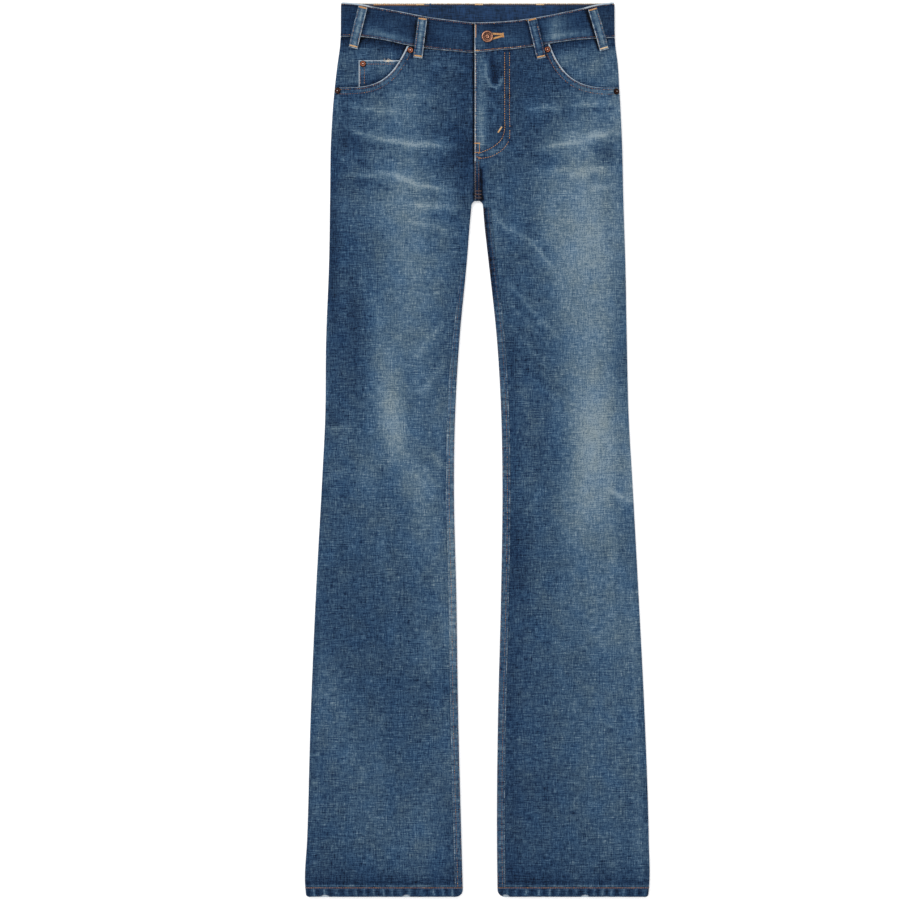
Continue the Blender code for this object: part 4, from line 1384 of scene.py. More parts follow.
def front_panel(side):
    """Front of one leg and half the front seat, cut away at the pocket opening."""
    edge = quarter(FRONT_ROUND, 8)
    rows = []
    for outer, inner, on_seam, on_arch in front_row_ends(side):
        length = math.hypot(outer[0] - inner[0], outer[1] - inner[1])
        middle = np.linspace(FRONT_ROUND, length - FRONT_ROUND, 66)[1:-1]
        first = 0.0 if on_seam else EDGE_ROW
        last = 0.0 if on_arch else EDGE_ROW
        places = np.concatenate(([0.0, first], edge[1:], middle, length - edge[:0:-1],
                                 [length - last, length]))
        across, down = row_places(outer, inner, places)
        if not on_seam:
            sag = band_bottom_edge(across) - np.interp(across, *level(outer, inner, band_bottom_edge))
            down = down + sag * ease(1 - (inner[1] - 60) / 60)
        height = front_height(side, across, down)
        wear = np.zeros_like(across)
        if on_seam:
            height[0] = height[1] - SEAM_STEP
        else:
            height -= 0.55 * edge_drop(places, 1.4)
            wear = np.maximum(wear, ease((2.8 - places) / 1.5))
        if on_arch:
            height[-1] = height[-2] - SEAM_STEP
        else:
            from_fly = length - places
            height -= 0.45 * edge_drop(from_fly, 1.2)
            if side == LEFT:
                wear = np.maximum(wear, 0.75 * ease((2.3 - from_fly) / 1.4))
        rows.append((across, down, height, wear))
    across, down, height, wear = np.array(rows).transpose(1, 0, 2)
    name = sided("front", side)
    piece = add_cloth(name + "_cloth", (across, down, height), CLOTH, cloth_material,
                      (across, down), front_wash_and_shade(side, across, down), wear)
    strips = [rise_seam()] if side == LEFT else []
    lay(name)


def back_wall(name, side, row_ends, wash_added=0.0):
    """A back panel or yoke through rows of (outer down, inner down)."""
    edge = quarter(BACK_ROUND, 5)
    rows = []
    for outer_down, down in row_ends:
        on_arch = down >= ARCH_TOP
        outer = (side * side_reach[side](outer_down), outer_down)
        inner = (inner_end(side, down, 0.0), down)
        length = math.hypot(outer[0] - inner[0], outer[1] - inner[1])
        middle = np.linspace(BACK_ROUND, length - BACK_ROUND, 46)[1:-1]
        last = 0.0 if on_arch else EDGE_ROW
        places = np.concatenate(([0.0, 0.0], edge[1:], middle, length - edge[:0:-1],
                                 [length - last, length]))
        across, down_points = row_places(outer, inner, places)
        height = back_height(side, across, down_points)
        height[0] = height[1] + SEAM_STEP
        if on_arch:
            height[-1] = height[-2] + SEAM_STEP
        rows.append((across, down_points, height))
    across, down, height = np.array(rows).transpose(1, 0, 2)
    wash_and_shade = back_wash_and_shade(side, across, down) + wash_added
    make_cloth(name, (across, down, height), CLOTH, (across, down), wash_and_shade,
               rests_on=[sided("back_pocket", side)], looks=-1)


def back_panel(side):
    row_ends = []
    for down in panel_stations(YOKE_CENTRE, 4.5):
        slant = (YOKE_CENTRE - YOKE_SIDE) * (1 - ease((down - YOKE_CENTRE) / 150))
        row_ends.append((down - slant, down))
    back_wall(sided("back", side), side, row_ends)


def yoke(side):
    """The slanted piece between the waistband and the back panel."""
    top_side = BAND_SIDE_BOTTOM[side] + GAP
    top_centre = (BAND_SIDE_BOTTOM[RIGHT] + BAND_SIDE_BOTTOM[LEFT]) / 2 + GAP
    row_ends = []
    for share in np.linspace(0, 1, 14):
        row_ends.append((top_side + (YOKE_SIDE - GAP - top_side) * share,
                         top_centre + (YOKE_CENTRE - GAP - top_centre) * share))
    back_wall(sided("yoke", side), side, row_ends, wash_added=-0.04)


# ---- pocket pieces ----
def tuck_edge(side, outward):
    """Down position of the hidden edge of the facing, behind the front panel."""
    outs, downs = [], []
    for t in np.linspace(0, 1, 25):
        point, way = pocket_mouth(side, t)
        outs.append(point[0] - POCKET_TUCK * way[1])
        downs.append(point[1] + POCKET_TUCK * way[0])
    lowest = np.interp(outward, outs, downs)
    least = band_bottom_edge(side * outward) + 7
    from_side = side_reach[side](POCKET_END) - outward
    hidden = ease((from_side - FRONT_ROUND) / 4)
    visible = POCKET_END - 0.4
    return np.maximum(visible + (lowest - visible) * hidden, least)


def pocket_facing(side):
    """Denim that shows in the pocket opening, from the waistband and side seam inwards."""
    edge = quarter(FACING_ROUND, 6)
    width = side_reach[side](80) - POCKET_MOUTHS[side][0][0] + 7
    inset = np.concatenate(([0.0, 0.0], edge[1:], [6.0], np.linspace(8, width, 42)))
    outward = side_reach[side](80) - inset
    top = band_bottom_edge(side * outward) + GAP
    bottom = tuck_edge(side, outward)
    share = np.linspace(0, 1, 30)[:, None]
    down = top + (bottom - top) * share
    across = side * (side_reach[side](down) - inset)
    height = facing_height(side, across, down)
    height[:, 0] = height[:, 1] - SEAM_STEP
    below_band = down - band_bottom_edge(across)
    from_mouth = line_distance(across, down, mouth_line(side, 0.0))
    wash_and_shade = 0.50 - 0.42 * bell(below_band, 13) + 0.05 * np.sin(across / 9 + down / 5)
    # painted shadow of the front panel's edge along the pocket opening
    wash_and_shade = wash_and_shade - 0.30 * bell(from_mouth, 3.2)
    if side == RIGHT:
        wash_and_shade = wash_and_shade - 0.16 + 0.10 * stroke(across, down, -150, 62, -112, 60, 7)[0]
    wash_and_shade = wash_and_shade + loop_shade(across, down)
    make_cloth(sided("pocket_facing", side), (across, down, height), FACING_WALL,
               (across, down + 400), wash_and_shade, rests_on=[sided("back", side)])


def coin_pocket():
    """Small pocket on the right facing, running down behind the front panel."""
    outward = np.concatenate((COIN_EDGE - quarter(2.0, 4), np.linspace(151.0, 93, 32)))
    bottom = tuck_edge(RIGHT, outward) - 1
    share = np.concatenate((quarter(0.06, 4), np.linspace(0.09, 1, 22)))[:, None]
    down = COIN_TOP + (bottom - COIN_TOP) * share
    across = -outward + 0 * down
    below_top = down - COIN_TOP
    from_edge = COIN_EDGE + across
    height = coin_height(RIGHT, across, down)
    height = height - 0.4 * edge_drop(below_top, 1.3) - 0.4 * edge_drop(from_edge, 1.3)
    wear = np.maximum(1.05 * ease((2.1 - below_top) / 1.3), 1.0 * ease((1.9 - from_edge) / 1.2))
    wear = wear + 0.9 * stroke(across, down, -117, COIN_TOP, -111, COIN_TOP, 2.6)[0]
    wash_and_shade = 0.42 - 0.22 * ease((below_top - 12) / 16) + 0.04 * np.sin(across / 5)
    from_mouth = line_distance(across, down, mouth_line(RIGHT, 0.0))
    # painted shadow of the front panel's edge along the pocket opening
    wash_and_shade = wash_and_shade - 0.26 * bell(from_mouth, 3.0)
    make_cloth("coin_pocket", (across, down, height), COIN_WALL, (across, down + 700), wash_and_shade, wear,
               ["pocket_facing_right_cloth"])


def back_pocket(side):
    """Patch pocket on the seat, flat on the surface that the garment lies on."""
    corners = [(-BACK_POCKET_HALF, 0), (BACK_POCKET_HALF, 0), (BACK_POCKET_FOOT, BACK_POCKET_SIDE),
               (0, BACK_POCKET_TIP), (-BACK_POCKET_FOOT, BACK_POCKET_SIDE)]
    top_left, top_right, foot_right, tip, foot_left = np.array(corners, dtype=float)
    share = np.concatenate((quarter(0.03, 4), np.linspace(0.05, 0.95, 30), 1 - quarter(0.03, 4)[::-1]))
    upper = top_left + (top_right - top_left) * share[:, None]
    lower_half = np.where(share[:, None] < 0.5,
                          foot_left + (tip - foot_left) * share[:, None] * 2,
                          tip + (foot_right - tip) * (share[:, None] * 2 - 1))
    fall = share[:, None, None]
    places = upper[None] + (lower_half - upper)[None] * fall
    across = side * (BACK_POCKET_MIDDLE + places[..., 0])
    down = BACK_POCKET_TOP + places[..., 1]
    from_side = np.minimum(share, 1 - share)[None, :] * 130
    from_end = np.minimum(share, 1 - share)[:, None] * 124
    from_edge = np.minimum(from_side, from_end) + 0 * across
    height = 0.35 * edge_drop(from_edge, 1.6)
    wash_and_shade = back_wash_and_shade(side, across, down) + 0.05
    wash_and_shade = wash_and_shade + 0.10 * bell(from_edge - 9, 2.0) - 0.10 * bell(from_edge - 5, 1.6)
    wear = 0.8 * ease((2.6 - from_edge) / 2.0)
    make_cloth(sided("back_pocket", side), (across, down, height), BACK_LIFT - GAP,
               (across, down + 90), wash_and_shade, wear, [sided("back", side)], looks=-1)


# ---- waistband, seams and hems ----
def band_height(side, across):
    """Outer face of the front waistband, whose left end lies over its right end."""
    if side == RIGHT:
        return UNDER_BAND_TOP + (BAND_TOP - UNDER_BAND_TOP) * ease((-5 - across) / 17)
    return FLAP_BAND_TOP + (BAND_TOP - FLAP_BAND_TOP) * ease((across - 32) / 16)


def band_form(from_top, from_bottom, along):
    """Depth of the waistband's rolled edges, its stitch lines and its puckers."""
    rolled = 0.75 * edge_drop(from_top, 1.8) + 0.6 * edge_drop(from_bottom, 1.5)
    ripple = pucker(along, from_bottom - 5, 5) + 0.7 * pucker(along * 1.1 + 40, from_top - 5, 5)
    return -rolled + 0.13 * ripple * ease(from_top / 3) * ease(from_bottom / 3)


def waistband():
    """One strip from its right end under the fly, round the back, to its left end on top."""
    edge = np.array((0, 0.02, 0.05, 0.10, 0.17, 0.25)) * 0.22
    share = np.concatenate((edge, np.linspace(0.075, 0.925, 16), 1 - edge[::-1]))
    middle = (BAND_TOP + BACK_LIFT) / 2
    columns = []

    def add_column(across, down, height, along):
        depth = down[-1] - down[0]
        outward = band_form(share * depth, (1 - share) * depth, along)
        columns.append((across, down, height, outward))

    def front_column(side, across):
        top = band_top_edge(across)
        down = top + (band_bottom_edge(across) - top) * share
        stretch = side_reach[side](down) / side_reach[side](0)
        height = band_height(side, across) + 0 * down
        add_column(across * stretch, down, height, across)

    def side_column(side, angle):
        down = BAND_SIDE_BOTTOM[side] * share
        out = side_reach[side](down) - BAND_ROUND * (1 - math.cos(angle))
        add_column(side * out, down, middle + BAND_ROUND * math.sin(angle) + 0 * down, 10 * angle)

    right_front = np.concatenate((UNDERLAP_END - quarter(2, 3), np.linspace(24, -165, 74)))
    left_front = np.concatenate((FLAP_EDGE + quarter(2, 4), np.linspace(0.5, 165, 68)))
    angles = np.radians(np.linspace(90, -90, 13))
    for across in right_front:
        front_column(RIGHT, across)
    for angle in angles:
        side_column(RIGHT, angle)
    for across in np.linspace(-168, 168, 90):
        bottom = np.interp(across, (-178, 179), (BAND_SIDE_BOTTOM[RIGHT], BAND_SIDE_BOTTOM[LEFT]))
        add_column(across + 0 * share, bottom * share, BACK_LIFT + 0 * share, across)
    for angle in angles[::-1]:
        side_column(LEFT, angle)
    for across in left_front[::-1]:
        front_column(LEFT, across)

    across, down, height, outward = np.array(columns).transpose(1, 2, 0)
    points = world(across, down, height)
    along = np.concatenate(([0.0], np.cumsum(np.linalg.norm(np.diff(points[8], axis=0), axis=1)))) / MM
    normals = grid_normals(points, False)
    if normals[8, 0, 2] < 0:
        normals = -normals
    across = across + normals[..., 0] * outward
    down = down - normals[..., 1] * outward
    height = height + normals[..., 2] * outward
    stands = 1 - (height > BACK_LIFT + BAND_ROUND) * ease((166 - np.abs(across)) / 40)
    down = down - BAND_RISE * stands * (1 - share[:, None]) ** 3
    from_top = down - down[:1]
    from_bottom = down[-1:] - down
    wear = np.maximum(0.78 * ease((1.5 - from_top) / 1.0), 0.66 * ease((1.3 - from_bottom) / 0.9))
    wear = np.maximum(wear, 1.1 * ease((np.abs(across) - 128) / 16) * ease((2.6 - from_top) / 1.2))
    flap_end = (across - FLAP_EDGE) * (along > along[-1] / 2)
    wear = np.maximum(wear, 0.75 * ease((2.1 - np.abs(flap_end)) / 1.2) * (along > along[-1] - 8))
    # painted shadow beside the end of the waistband that lies over the fly, on the end beneath it
    flap_shadow = bell(across - FLAP_EDGE, 2.6) * (along < along[-1] / 2)
    in_front = height > BACK_LIFT + 2
    wash_and_shade = 0.09 - 0.6 * flap_shadow + (loop_shade(across, down) + band_fade(across, from_bottom)) * in_front
    wash_and_shade = wash_and_shade + 0.07 * pucker(along + 0 * down, from_bottom - 5, 6)
    wash_and_shade = wash_and_shade - 0.14 * bell(from_top - 3.4, 1.2)
    wash_and_shade = wash_and_shade - 0.10 * bell(from_bottom - 3.6, 1.0)
    make_cloth("waistband", (across, down, height), BAND_WALL, (along + 0 * down, down + 900), wash_and_shade, wear,
               ["front_right_cloth", "front_left_cloth"], band_material, "denim_dark", probe=(8, 0))


def band_fade(across, from_bottom):
    """Wash added to the front waistband in its paler and darker stretches."""
    total = 0.0
    for middle, above, half_across, half_above, added in BAND_FADES:
        off = ((across - middle) / half_across) ** 2 + ((from_bottom - above) / half_above) ** 2
        total = total + added * np.exp(-off)
    return total


def inseam(side):
    """Felled inseam as a raised strip along the leg's inner edge."""
    down = np.linspace(INSEAM_START[side], HEM_LINE - GAP, 380)[:, None]
    inset = np.array((0, 0.3, 0.9, 1.8, 2.8, 4.0, 5.0, 6.0, 7.2, 8.2, 9.1, 9.7, 10.0))
    narrow = 0.90 - 0.3 * (1 - ease((down - INSEAM_START[side]) / 160)) * (side == RIGHT)
    across = side * (inner_reach[side](down) + INSEAM_INSET + narrow * inset)
    down = down + 0 * across
    from_edge = np.minimum(inset, INSEAM_WIDTH - inset) + 0 * across
    bars = pucker(down + 13 * side, inset - 5, 6)
    above = GAP + STRIP_WALL + 0.16 * bars - 0.35 * edge_drop(from_edge, 1.2)
    grid = lies_on(front_height, side, across, down, above)
    grid[1][-1, :] = HEM_LINE - GAP
    shaded = {RIGHT: 0.10, LEFT: 0.26}[side] * (1 - ease((down - 330) / 110))
    wash_and_shade = front_wash_and_shade(side, across, down) + 0.10 + 0.12 * bars - shaded
    wash_and_shade = wash_and_shade - 0.9 * shaded * (inset < 5)
    wear = 0.50 * ease((1.8 - from_edge) / 1.4) * (1 - shaded * 2.4)
    wear = wear * np.where(inset < 5, 0.4, 1.0)
    make_cloth(sided("inseam", side), grid, STRIP_WALL, (across, down + 300), wash_and_shade, wear,
               [sided("front", side) + "_cloth"])


def rise_seam():
    """Felled seam between the fly and the crotch, lying on the left front."""
    down = np.linspace(RISE_SEAM_START, ARCH_TOP - 1.2, 24)[:, None]
    inset = np.array((0.4, 0.7, 1.3, 2.2, 3.3, 4.4, 5.4, 6.2, 6.7, RISE_SEAM_WIDTH))
    across = centre_front(down) + inset
    down = down + 0 * across
    from_edge = np.minimum(inset - 0.4, RISE_SEAM_WIDTH - inset) + 0 * across
    above = GAP + STRIP_WALL - 0.3 * edge_drop(from_edge, 1.0)
    grid = lies_on(front_height, LEFT, across, down, above)
    wear = 0.25 * ease((1.5 - from_edge) / 1.1)
    piece = add_cloth("rise_seam_cloth", grid, STRIP_WALL, cloth_material, (across, down + 200),
                      0.36 - 0.44 * ease((down - 196) / 40), wear)
    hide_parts("rise_seam")
    return piece


def hem(side):
    """Turned hem all round one leg's end, with rounded lower corners and a roped twist."""
    radius = HEM_TOP / 2
    rows = []
    for down in HEM_LINE + HEM_HEIGHT * (1 - np.cos(np.linspace(0, math.pi, 17))) / 2:
        inset = {}
        for corner, size in HEM_CORNER.items():
            share = 1 - (LENGTH - down) / size
            inset[corner] = size * (1 - math.sqrt(1 - max(share, 0) ** 2))
        outer = side_reach[side](down) - inset["outer"]
        inner = inner_reach[side](down) + inset["inner"]
        row = []
        for share in np.linspace(0, 1, 136):
            row.append((outer - radius + (inner - outer + 2 * radius) * share, HEM_TOP))
        for angle in np.radians(np.linspace(75, -75, 9)):
            row.append((inner + radius * (1 - math.cos(angle)), radius * (1 + math.sin(angle))))
        for share in np.linspace(1, 0, 60):
            row.append((outer - radius + (inner - outer + 2 * radius) * share, 0.0))
        for angle in np.radians(np.linspace(-75, 75, 9)):
            row.append((outer - radius * (1 - math.cos(angle)), radius * (1 + math.sin(angle))))
        rows.append([(side * outward, down, height) for outward, height in row])
    across, down, height = np.array(rows).transpose(2, 0, 1)
    from_top = down - HEM_LINE
    from_bottom = LENGTH - down
    phase = across * 0.50 + 0.05 * side * from_top
    phase = phase + 1.3 * np.sin(across / 21) + 0.7 * np.sin(across / 9 + side)
    bars = np.clip(np.sin(phase), 0, 1) ** 5 * (0.7 + 0.3 * np.sin(across / 14 + 2 * side))
    hollows = np.clip(-np.sin(phase + 0.4), 0, 1) ** 1.2
    twist = 1.6 * bars - hollows
    rolled = 0.7 * edge_drop(from_top, 1.3) + 1.1 * edge_drop(from_bottom, 2.4)
    relief = 0.16 * twist * ease(from_top / 2) * ease(from_bottom / 2) - rolled
    on_front = height > HEM_TOP - 0.01
    on_back = height < 0.01
    height = height + np.where(on_front, relief, 0) - np.where(on_back, np.minimum(relief, 0), 0)
    in_band = ease((from_top - 1.5) / 2) * ease((from_bottom - 0.5) / 2)
    wash_and_shade = 0.21 + (0.52 * bars - 0.22 * hollows) * in_band
    wear = 0.42 * ease((2.2 - from_bottom) / 1.6) * (0.75 + 0.5 * np.sin(across / 13 + 1.4 * side))
    wear = np.maximum(wear, 0.25 * ease((1.3 - from_top) / 1.0))
    for middle in FRAYED_HEM:
        wear = wear + 1.1 * bell(across - middle, 4.5) * ease((4.2 - from_bottom) / 2.4)
    columns = np.arange(across.shape[1]) * 1.6
    make_cloth(sided("hem", side), (across, down, height), HEM_WALL, (columns + 0 * down, down), wash_and_shade,
               wear, [sided("front", side) + "_cloth"], probe=(8, 60), ring=True)


# ---- belt loops ----
def front_loop(number, place, under):
    """Belt loop tacked at both ends and standing off the waistband between them."""
    across_0, down_0, across_1, down_1 = place
    share = np.linspace(0, 1, 44)[:, None]
    run = np.array((across_1 - across_0, down_1 - down_0))
    length = np.hypot(*run)
    side_way = np.array((run[1], -run[0])) / length
    offset = np.array((-6, -5.85, -5.4, -4.6, -3.4, -1.8, 0, 1.8, 3.4, 4.6, 5.4, 5.85, 6))
    from_edge = LOOP_WIDTH / 2 - np.abs(offset)
    across = across_0 + run[0] * share + side_way[0] * offset
    down = down_0 + run[1] * share + side_way[1] * offset
    arch_end = LOOP_ARCH[-1][0]
    along = BAND_TOP + loop_arch(np.minimum(share, arch_end))
    fall = ease((share - arch_end) / 0.16)
    underside = along + (under + GAP - along) * fall
    from_end = np.minimum(share, 1 - share) * length
    crown = 0.30 * (1 - (offset * 2 / LOOP_WIDTH) ** 2) - 0.55 * edge_drop(from_edge, 1.3)
    crown = crown - 0.4 * edge_drop(from_end, 1.2) + 0.10 * pucker(share * length, offset, 5)
    height = underside + LOOP_WALL + crown + 0 * across
    wash_top, wash_bottom, wear_left, wear_right, streak_place = LOOP_LOOKS[number - 1]
    wear = np.where(offset < 0, wear_left, wear_right) * ease((1.5 - from_edge) / 0.9) + 0 * across
    wear = wear * (0.85 + 0.25 * np.sin(share * 31 + 2 * number + offset))
    wear = np.maximum(wear, 0.8 * ease((1.9 - (1 - share) * length) / 1.2))
    streak = bell(offset - streak_place, 1.3) * (0.65 + 0.35 * np.sin(share * 19 + 3 * number))
    wash_and_shade = wash_top + (wash_bottom - wash_top) * share + 0.30 * streak
    wash_and_shade = wash_and_shade - 0.30 * bell(from_edge - 2.3, 0.9) + 0.06 * np.sin(share * 43 + number)
    cloth = (offset + 0 * across, share * length + 60 * number + 0 * across)
    make_cloth(f"belt_loop_{number}", (across, down, height), LOOP_WALL, cloth, wash_and_shade, wear,
               ["waistband_cloth"], loop_material)


def back_loop(number, across_middle):
    """Belt loop under the back waistband, flat on the surface."""
    down = np.linspace(0.3, BACK_LOOP_LENGTH, 26)[:, None]
    offset = np.array((-6, -5.8, -5.2, -4.2, -2.5, 0, 2.5, 4.2, 5.2, 5.8, 6))
    across = across_middle + offset + 0 * down
    down = down + 0 * across
    from_edge = LOOP_WIDTH / 2 - np.abs(offset)
    height = 0.3 * edge_drop(from_edge, 1.2) + 0 * down
    wear = 0.8 * ease((1.5 - from_edge) / 1.0) + 0 * across
    make_cloth(f"belt_loop_{number}", (across, down, height), BACK_LOOP_WALL,
               (offset + 0 * across, down + 60 * number), 0.46 + 0 * across, wear,
               ["waistband_cloth"], loop_material, looks=-1)


def belt_loops():
    for index, place in enumerate(BELT_LOOPS):
        across, down = place[2], place[3]
        side = RIGHT if across < 0 else LEFT
        on_facing = abs(across) > POCKET_MOUTHS[side][0][0]
        surface = facing_height if on_facing else front_height
        width = across + LOOP_WIDTH * np.linspace(-0.6, 0.6, 7)
        front_loop(index + 1, place, np.max(surface(side, width, down + 0 * width)))
    for index, across in enumerate(BACK_LOOP_PLACES):
        back_loop(len(BELT_LOOPS) + index + 1, across)


for wearer_side in SIDES:
    front_panel(wearer_side)
    pocket_facing(wearer_side)
    back_panel(wearer_side)
    yoke(wearer_side)
    back_pocket(wearer_side)
    inseam(wearer_side)
    hem(wearer_side)
coin_pocket()
waistband()
belt_loops()


# ---- sewing ----
def stitch_form(length, width, thick, dip):
    """Points and faces of one stitch along X, its ends pulled down into the cloth."""
    sides, rings = 6, 5
    share = np.linspace(-0.93, 0.93, rings)
    swell = np.sqrt(1 - share ** 4)
    angles = np.linspace(0, 2 * math.pi, sides, endpoint=False)
    x = np.repeat(share * length / 2, sides)
    y = (swell[:, None] * np.cos(angles) * width / 2).ravel()
    z = (swell[:, None] * np.sin(angles) * thick / 2 - dip * share[:, None] ** 2).ravel()
    tips = ((-length / 2, 0, -dip), (length / 2, 0, -dip))
    points = np.concatenate((np.stack((x, y, z), axis=-1), tips))
    faces = grid_faces(rings, sides, True)[:, ::-1].tolist()
    first, last = rings * sides, (rings - 1) * sides
    for k in range(sides):
        n = (k + 1) % sides
        faces.append([first, n, k])
        faces.append([first + 1, last + k, last + n])
    return points * MM, faces


class Thread:
    """Stitches that are gathered, then made as one piece."""

    def __init__(self, name):
        self.name = name
        self.points = []
        self.faces = []
        self.tones = []
        self.count = 0

    def add(self, form, middle, along, up, tone):
        """A stitch at each middle, lying along one direction with another as up."""
        points, faces = form
        along = along / np.linalg.norm(along, axis=-1, keepdims=True)
        beside = np.cross(up, along)
        beside = beside / np.linalg.norm(beside, axis=-1, keepdims=True)
        top = np.cross(along, beside)
        frames = np.stack((along, beside, top), axis=1)
        placed = np.einsum("pk,nkc->npc", points, frames) + middle[:, None]
        self.points.append(placed.reshape(-1, 3))
        self.tones.append(np.repeat(tone, len(points)))
        for _ in range(len(middle)):
            self.faces.extend([[corner + self.count for corner in face] for face in faces])
            self.count += len(points)

    def row(self, line, normals, tone, pitch=3.0, form=None, skipped=0.02, spread=0.07):
        """Stitches along a line of points in metres, with the cloth's normals there."""
        steps = np.linalg.norm(np.diff(line, axis=0), axis=1)
        passed = np.concatenate(([0.0], np.cumsum(steps)))
        count = max(int(passed[-1] / (pitch * MM)), 1)
        at = (np.arange(count) + 0.5) * passed[-1] / count
        at = at[random.random(count) >= skipped]
        half = 0.36 * pitch * MM

        def sample(values, where):
            return np.stack([np.interp(where, passed, values[:, k]) for k in range(3)], axis=-1)

        up = sample(normals, at)
        up = up / np.linalg.norm(up, axis=1, keepdims=True)
        along = sample(line, at + half) - sample(line, at - half)
        along = along + np.cross(up, along) * random.normal(0, 0.05, (len(at), 1))
        middle = sample(line, at) + up * STITCH_RISE * MM
        tones = np.clip(tone + random.normal(0, spread, len(at)), LEAST_TONE, 1)
        self.add(form or TOP_STITCH, middle, along, up, tones)

    def grid_row(self, name, tone, row=None, column=None, part=slice(None), **style):
        """Stitches along one row or column of a cloth piece's grid."""
        self.row(*on_grid(name, row, column, part), tone, **style)

    def surface_row(self, places, height, side, tone, looks=1, **style):
        """Stitches along places on one of the garment's surfaces."""
        self.row(*on_surface(places, height, side, looks), tone, **style)

    def bartack(self, middle, along, up, length, width, tone):
        """A bar of close zigzag thread, its length along one direction."""
        along = np.array(along, dtype=float) / np.linalg.norm(along)
        up = np.array(up, dtype=float) / np.linalg.norm(up)
        beside = np.cross(up, along)
        count = round(length / 0.42)
        place = (np.linspace(-0.5, 0.5, count) * length * MM)[:, None]
        middles = middle + along * place + up * 0.22 * MM
        lean = np.where(np.arange(count) % 2, 0.22, -0.22)[:, None]
        form = stitch_form(width, 0.50, 0.46, 0.12)
        ups = np.tile(up, (count, 1))
        tones = np.clip(tone + random.normal(0, 0.06, count), LEAST_TONE, 1)
        self.add(form, middles, beside + along * lean, ups, tones)
        core = stitch_form(length, width * 0.62, 0.34, 0.02)
        self.add(core, (middle + up * 0.10 * MM)[None], along[None], up[None], np.array([tone - 0.12]))

    def make(self):
        piece = add_piece(self.name, np.concatenate(self.points), self.faces,
                          {"tone": np.concatenate(self.tones)}, thread, 80)


TOP_STITCH = stitch_form(2.1, 0.74, 0.5, 0.25)
FINE_STITCH = stitch_form(1.9, 0.58, 0.4, 0.25)
EDGE_STITCH = stitch_form(2.8, 1.1, 0.4, 0.05)
HEM_STITCH = stitch_form(2.8, 0.72, 0.5, 0.15)
STITCH_RISE = 0.20          # how far the middle of a stitch is above the cloth
LEAST_TONE = 0.12
TAN = 0.74
BROWN = 0.36
UPWARDS = (0.0, 0.0, 1.0)
DOWNWARDS = (0.0, 0.0, -1.0)


def on_surface(places, height, side, looks=1):
    """Points in metres, and normals, of places on one of the garment's surfaces."""
    across, down = np.asarray(places).T
    at = world(across, down, height(side, across, down))
    normals = world(*lies_on(height, side, across, down, float(looks))) - at
    return at, normals / np.linalg.norm(normals, axis=1, keepdims=True)


def on_grid(name, row=None, column=None, part=slice(None)):
    """Points and normals along one row or column of a cloth piece's grid."""
    points, normals = faces_of[name]
    if row is not None:
        return points[row, part], normals[row, part]
    return points[part, column], normals[part, column]


FLY_BARTACKS = (
    # across, down, direction, length, width, tone
    (29.4, 163.0, (0.55, -0.83), 8.5, 2.5, 0.72),
    (0.0, 180.6, (1, 0), 6.8, 1.8, 0.60),
    (2.9, 186.6, (0, 1), 11.0, 0.9, 0.48),
    (0.0, 192.6, (1, 0), 6.4, 1.0, 0.48),
    (1.8, 199.0, (1, 0.3), 5.0, 1.4, 0.42),
)
INSEAM_STITCHES = (
    # rows of the strip, tone of the line on its far side and on the leg's edge
    (slice(0, 60), 0.08, 0.06),
    (slice(59, 110), 0.18, 0.18),
    (slice(109, 380), 0.33, 0.22),
)
RISE_STITCHES = (
    # column of the strip, rows, tone
    (2, slice(0, 14), 0.22),
    (2, slice(13, 24), 0.12),
    (6, slice(0, 14), 0.16),
    (6, slice(13, 24), 0.10),
)
RISE_BARTACKS = ((18, 0.06), (20, 0.03), (22, 0.05))    # row of the strip, tone
FRAY_THREADS = 46
FRAY_MIDDLE = (-115.0, COIN_TOP + 0.6)


def sew_leg(sewing, side):
    """Stitches of one pocket opening, inseam and hem."""
    for inset in (2.3, 8.2):
        places = mouth_line(side, inset, ends=(0.01, 0.975))
        places = places[places[:, 1] > band_bottom_edge(places[:, 0]) + 1]
        sewing.surface_row(places, front_height, side, 0.33, form=FINE_STITCH, skipped=0.05, spread=0.14)
    strip = sided("inseam", side) + "_cloth"
    for part, far_tone, edge_tone in INSEAM_STITCHES:
        sewing.grid_row(strip, far_tone, column=7, part=part, form=FINE_STITCH, spread=0.10)
        sewing.grid_row(strip, edge_tone, column=2, part=part, form=FINE_STITCH, skipped=0.35)
    line, ups = on_grid(sided("hem", side) + "_cloth", row=3)
    sewing.row(np.concatenate((line, line[:1])), np.concatenate((ups, ups[:1])), 0.40,
               form=HEM_STITCH, skipped=0.0, spread=0.05)


def sew_front():
    sewing = Thread("thread_front")
    for places in FLY_ROWS:
        sewing.surface_row(smooth_line(places), front_height, LEFT, 0.54)
    for side in SIDES:
        sew_leg(sewing, side)
    for column, part, tone in RISE_STITCHES:
        sewing.grid_row("rise_seam_cloth", tone, column=column, part=part, form=HEM_STITCH, spread=0.06)
    strip, ups = faces_of["rise_seam_cloth"]
    for row, tone in RISE_BARTACKS:
        sewing.bartack(strip[row, 5], strip[row, -1] - strip[row, 0], ups[row, 5], 8.0, 1.4, tone)
    fly_edge = [(float(centre_front(down)) + 1.7, down) for down in np.arange(64.0, 200.0, 2.0)]
    sewing.surface_row(fly_edge, front_height, LEFT, 0.62, form=FINE_STITCH, skipped=0.06, spread=0.24)

    top = smooth_line(((-COIN_EDGE + 2, COIN_TOP + 5.0), (-108, COIN_TOP + 5.0)))
    sewing.surface_row(top, coin_height, RIGHT, 0.42, form=FINE_STITCH, skipped=0.08)
    for inset in (1.8, 7.4):
        upright = smooth_line(((-COIN_EDGE + inset, COIN_TOP + 2), (-COIN_EDGE + inset, 103)))
        sewing.surface_row(upright, coin_height, RIGHT, BROWN)

    for across, down, way, length, width, tone in FLY_BARTACKS:
        point, up = on_surface([(across, down)], front_height, LEFT)
        sewing.bartack(point[0], (way[0], -way[1], 0), up[0], length, width, tone)
    fray_coin_pocket(sewing)
    sewing.make()


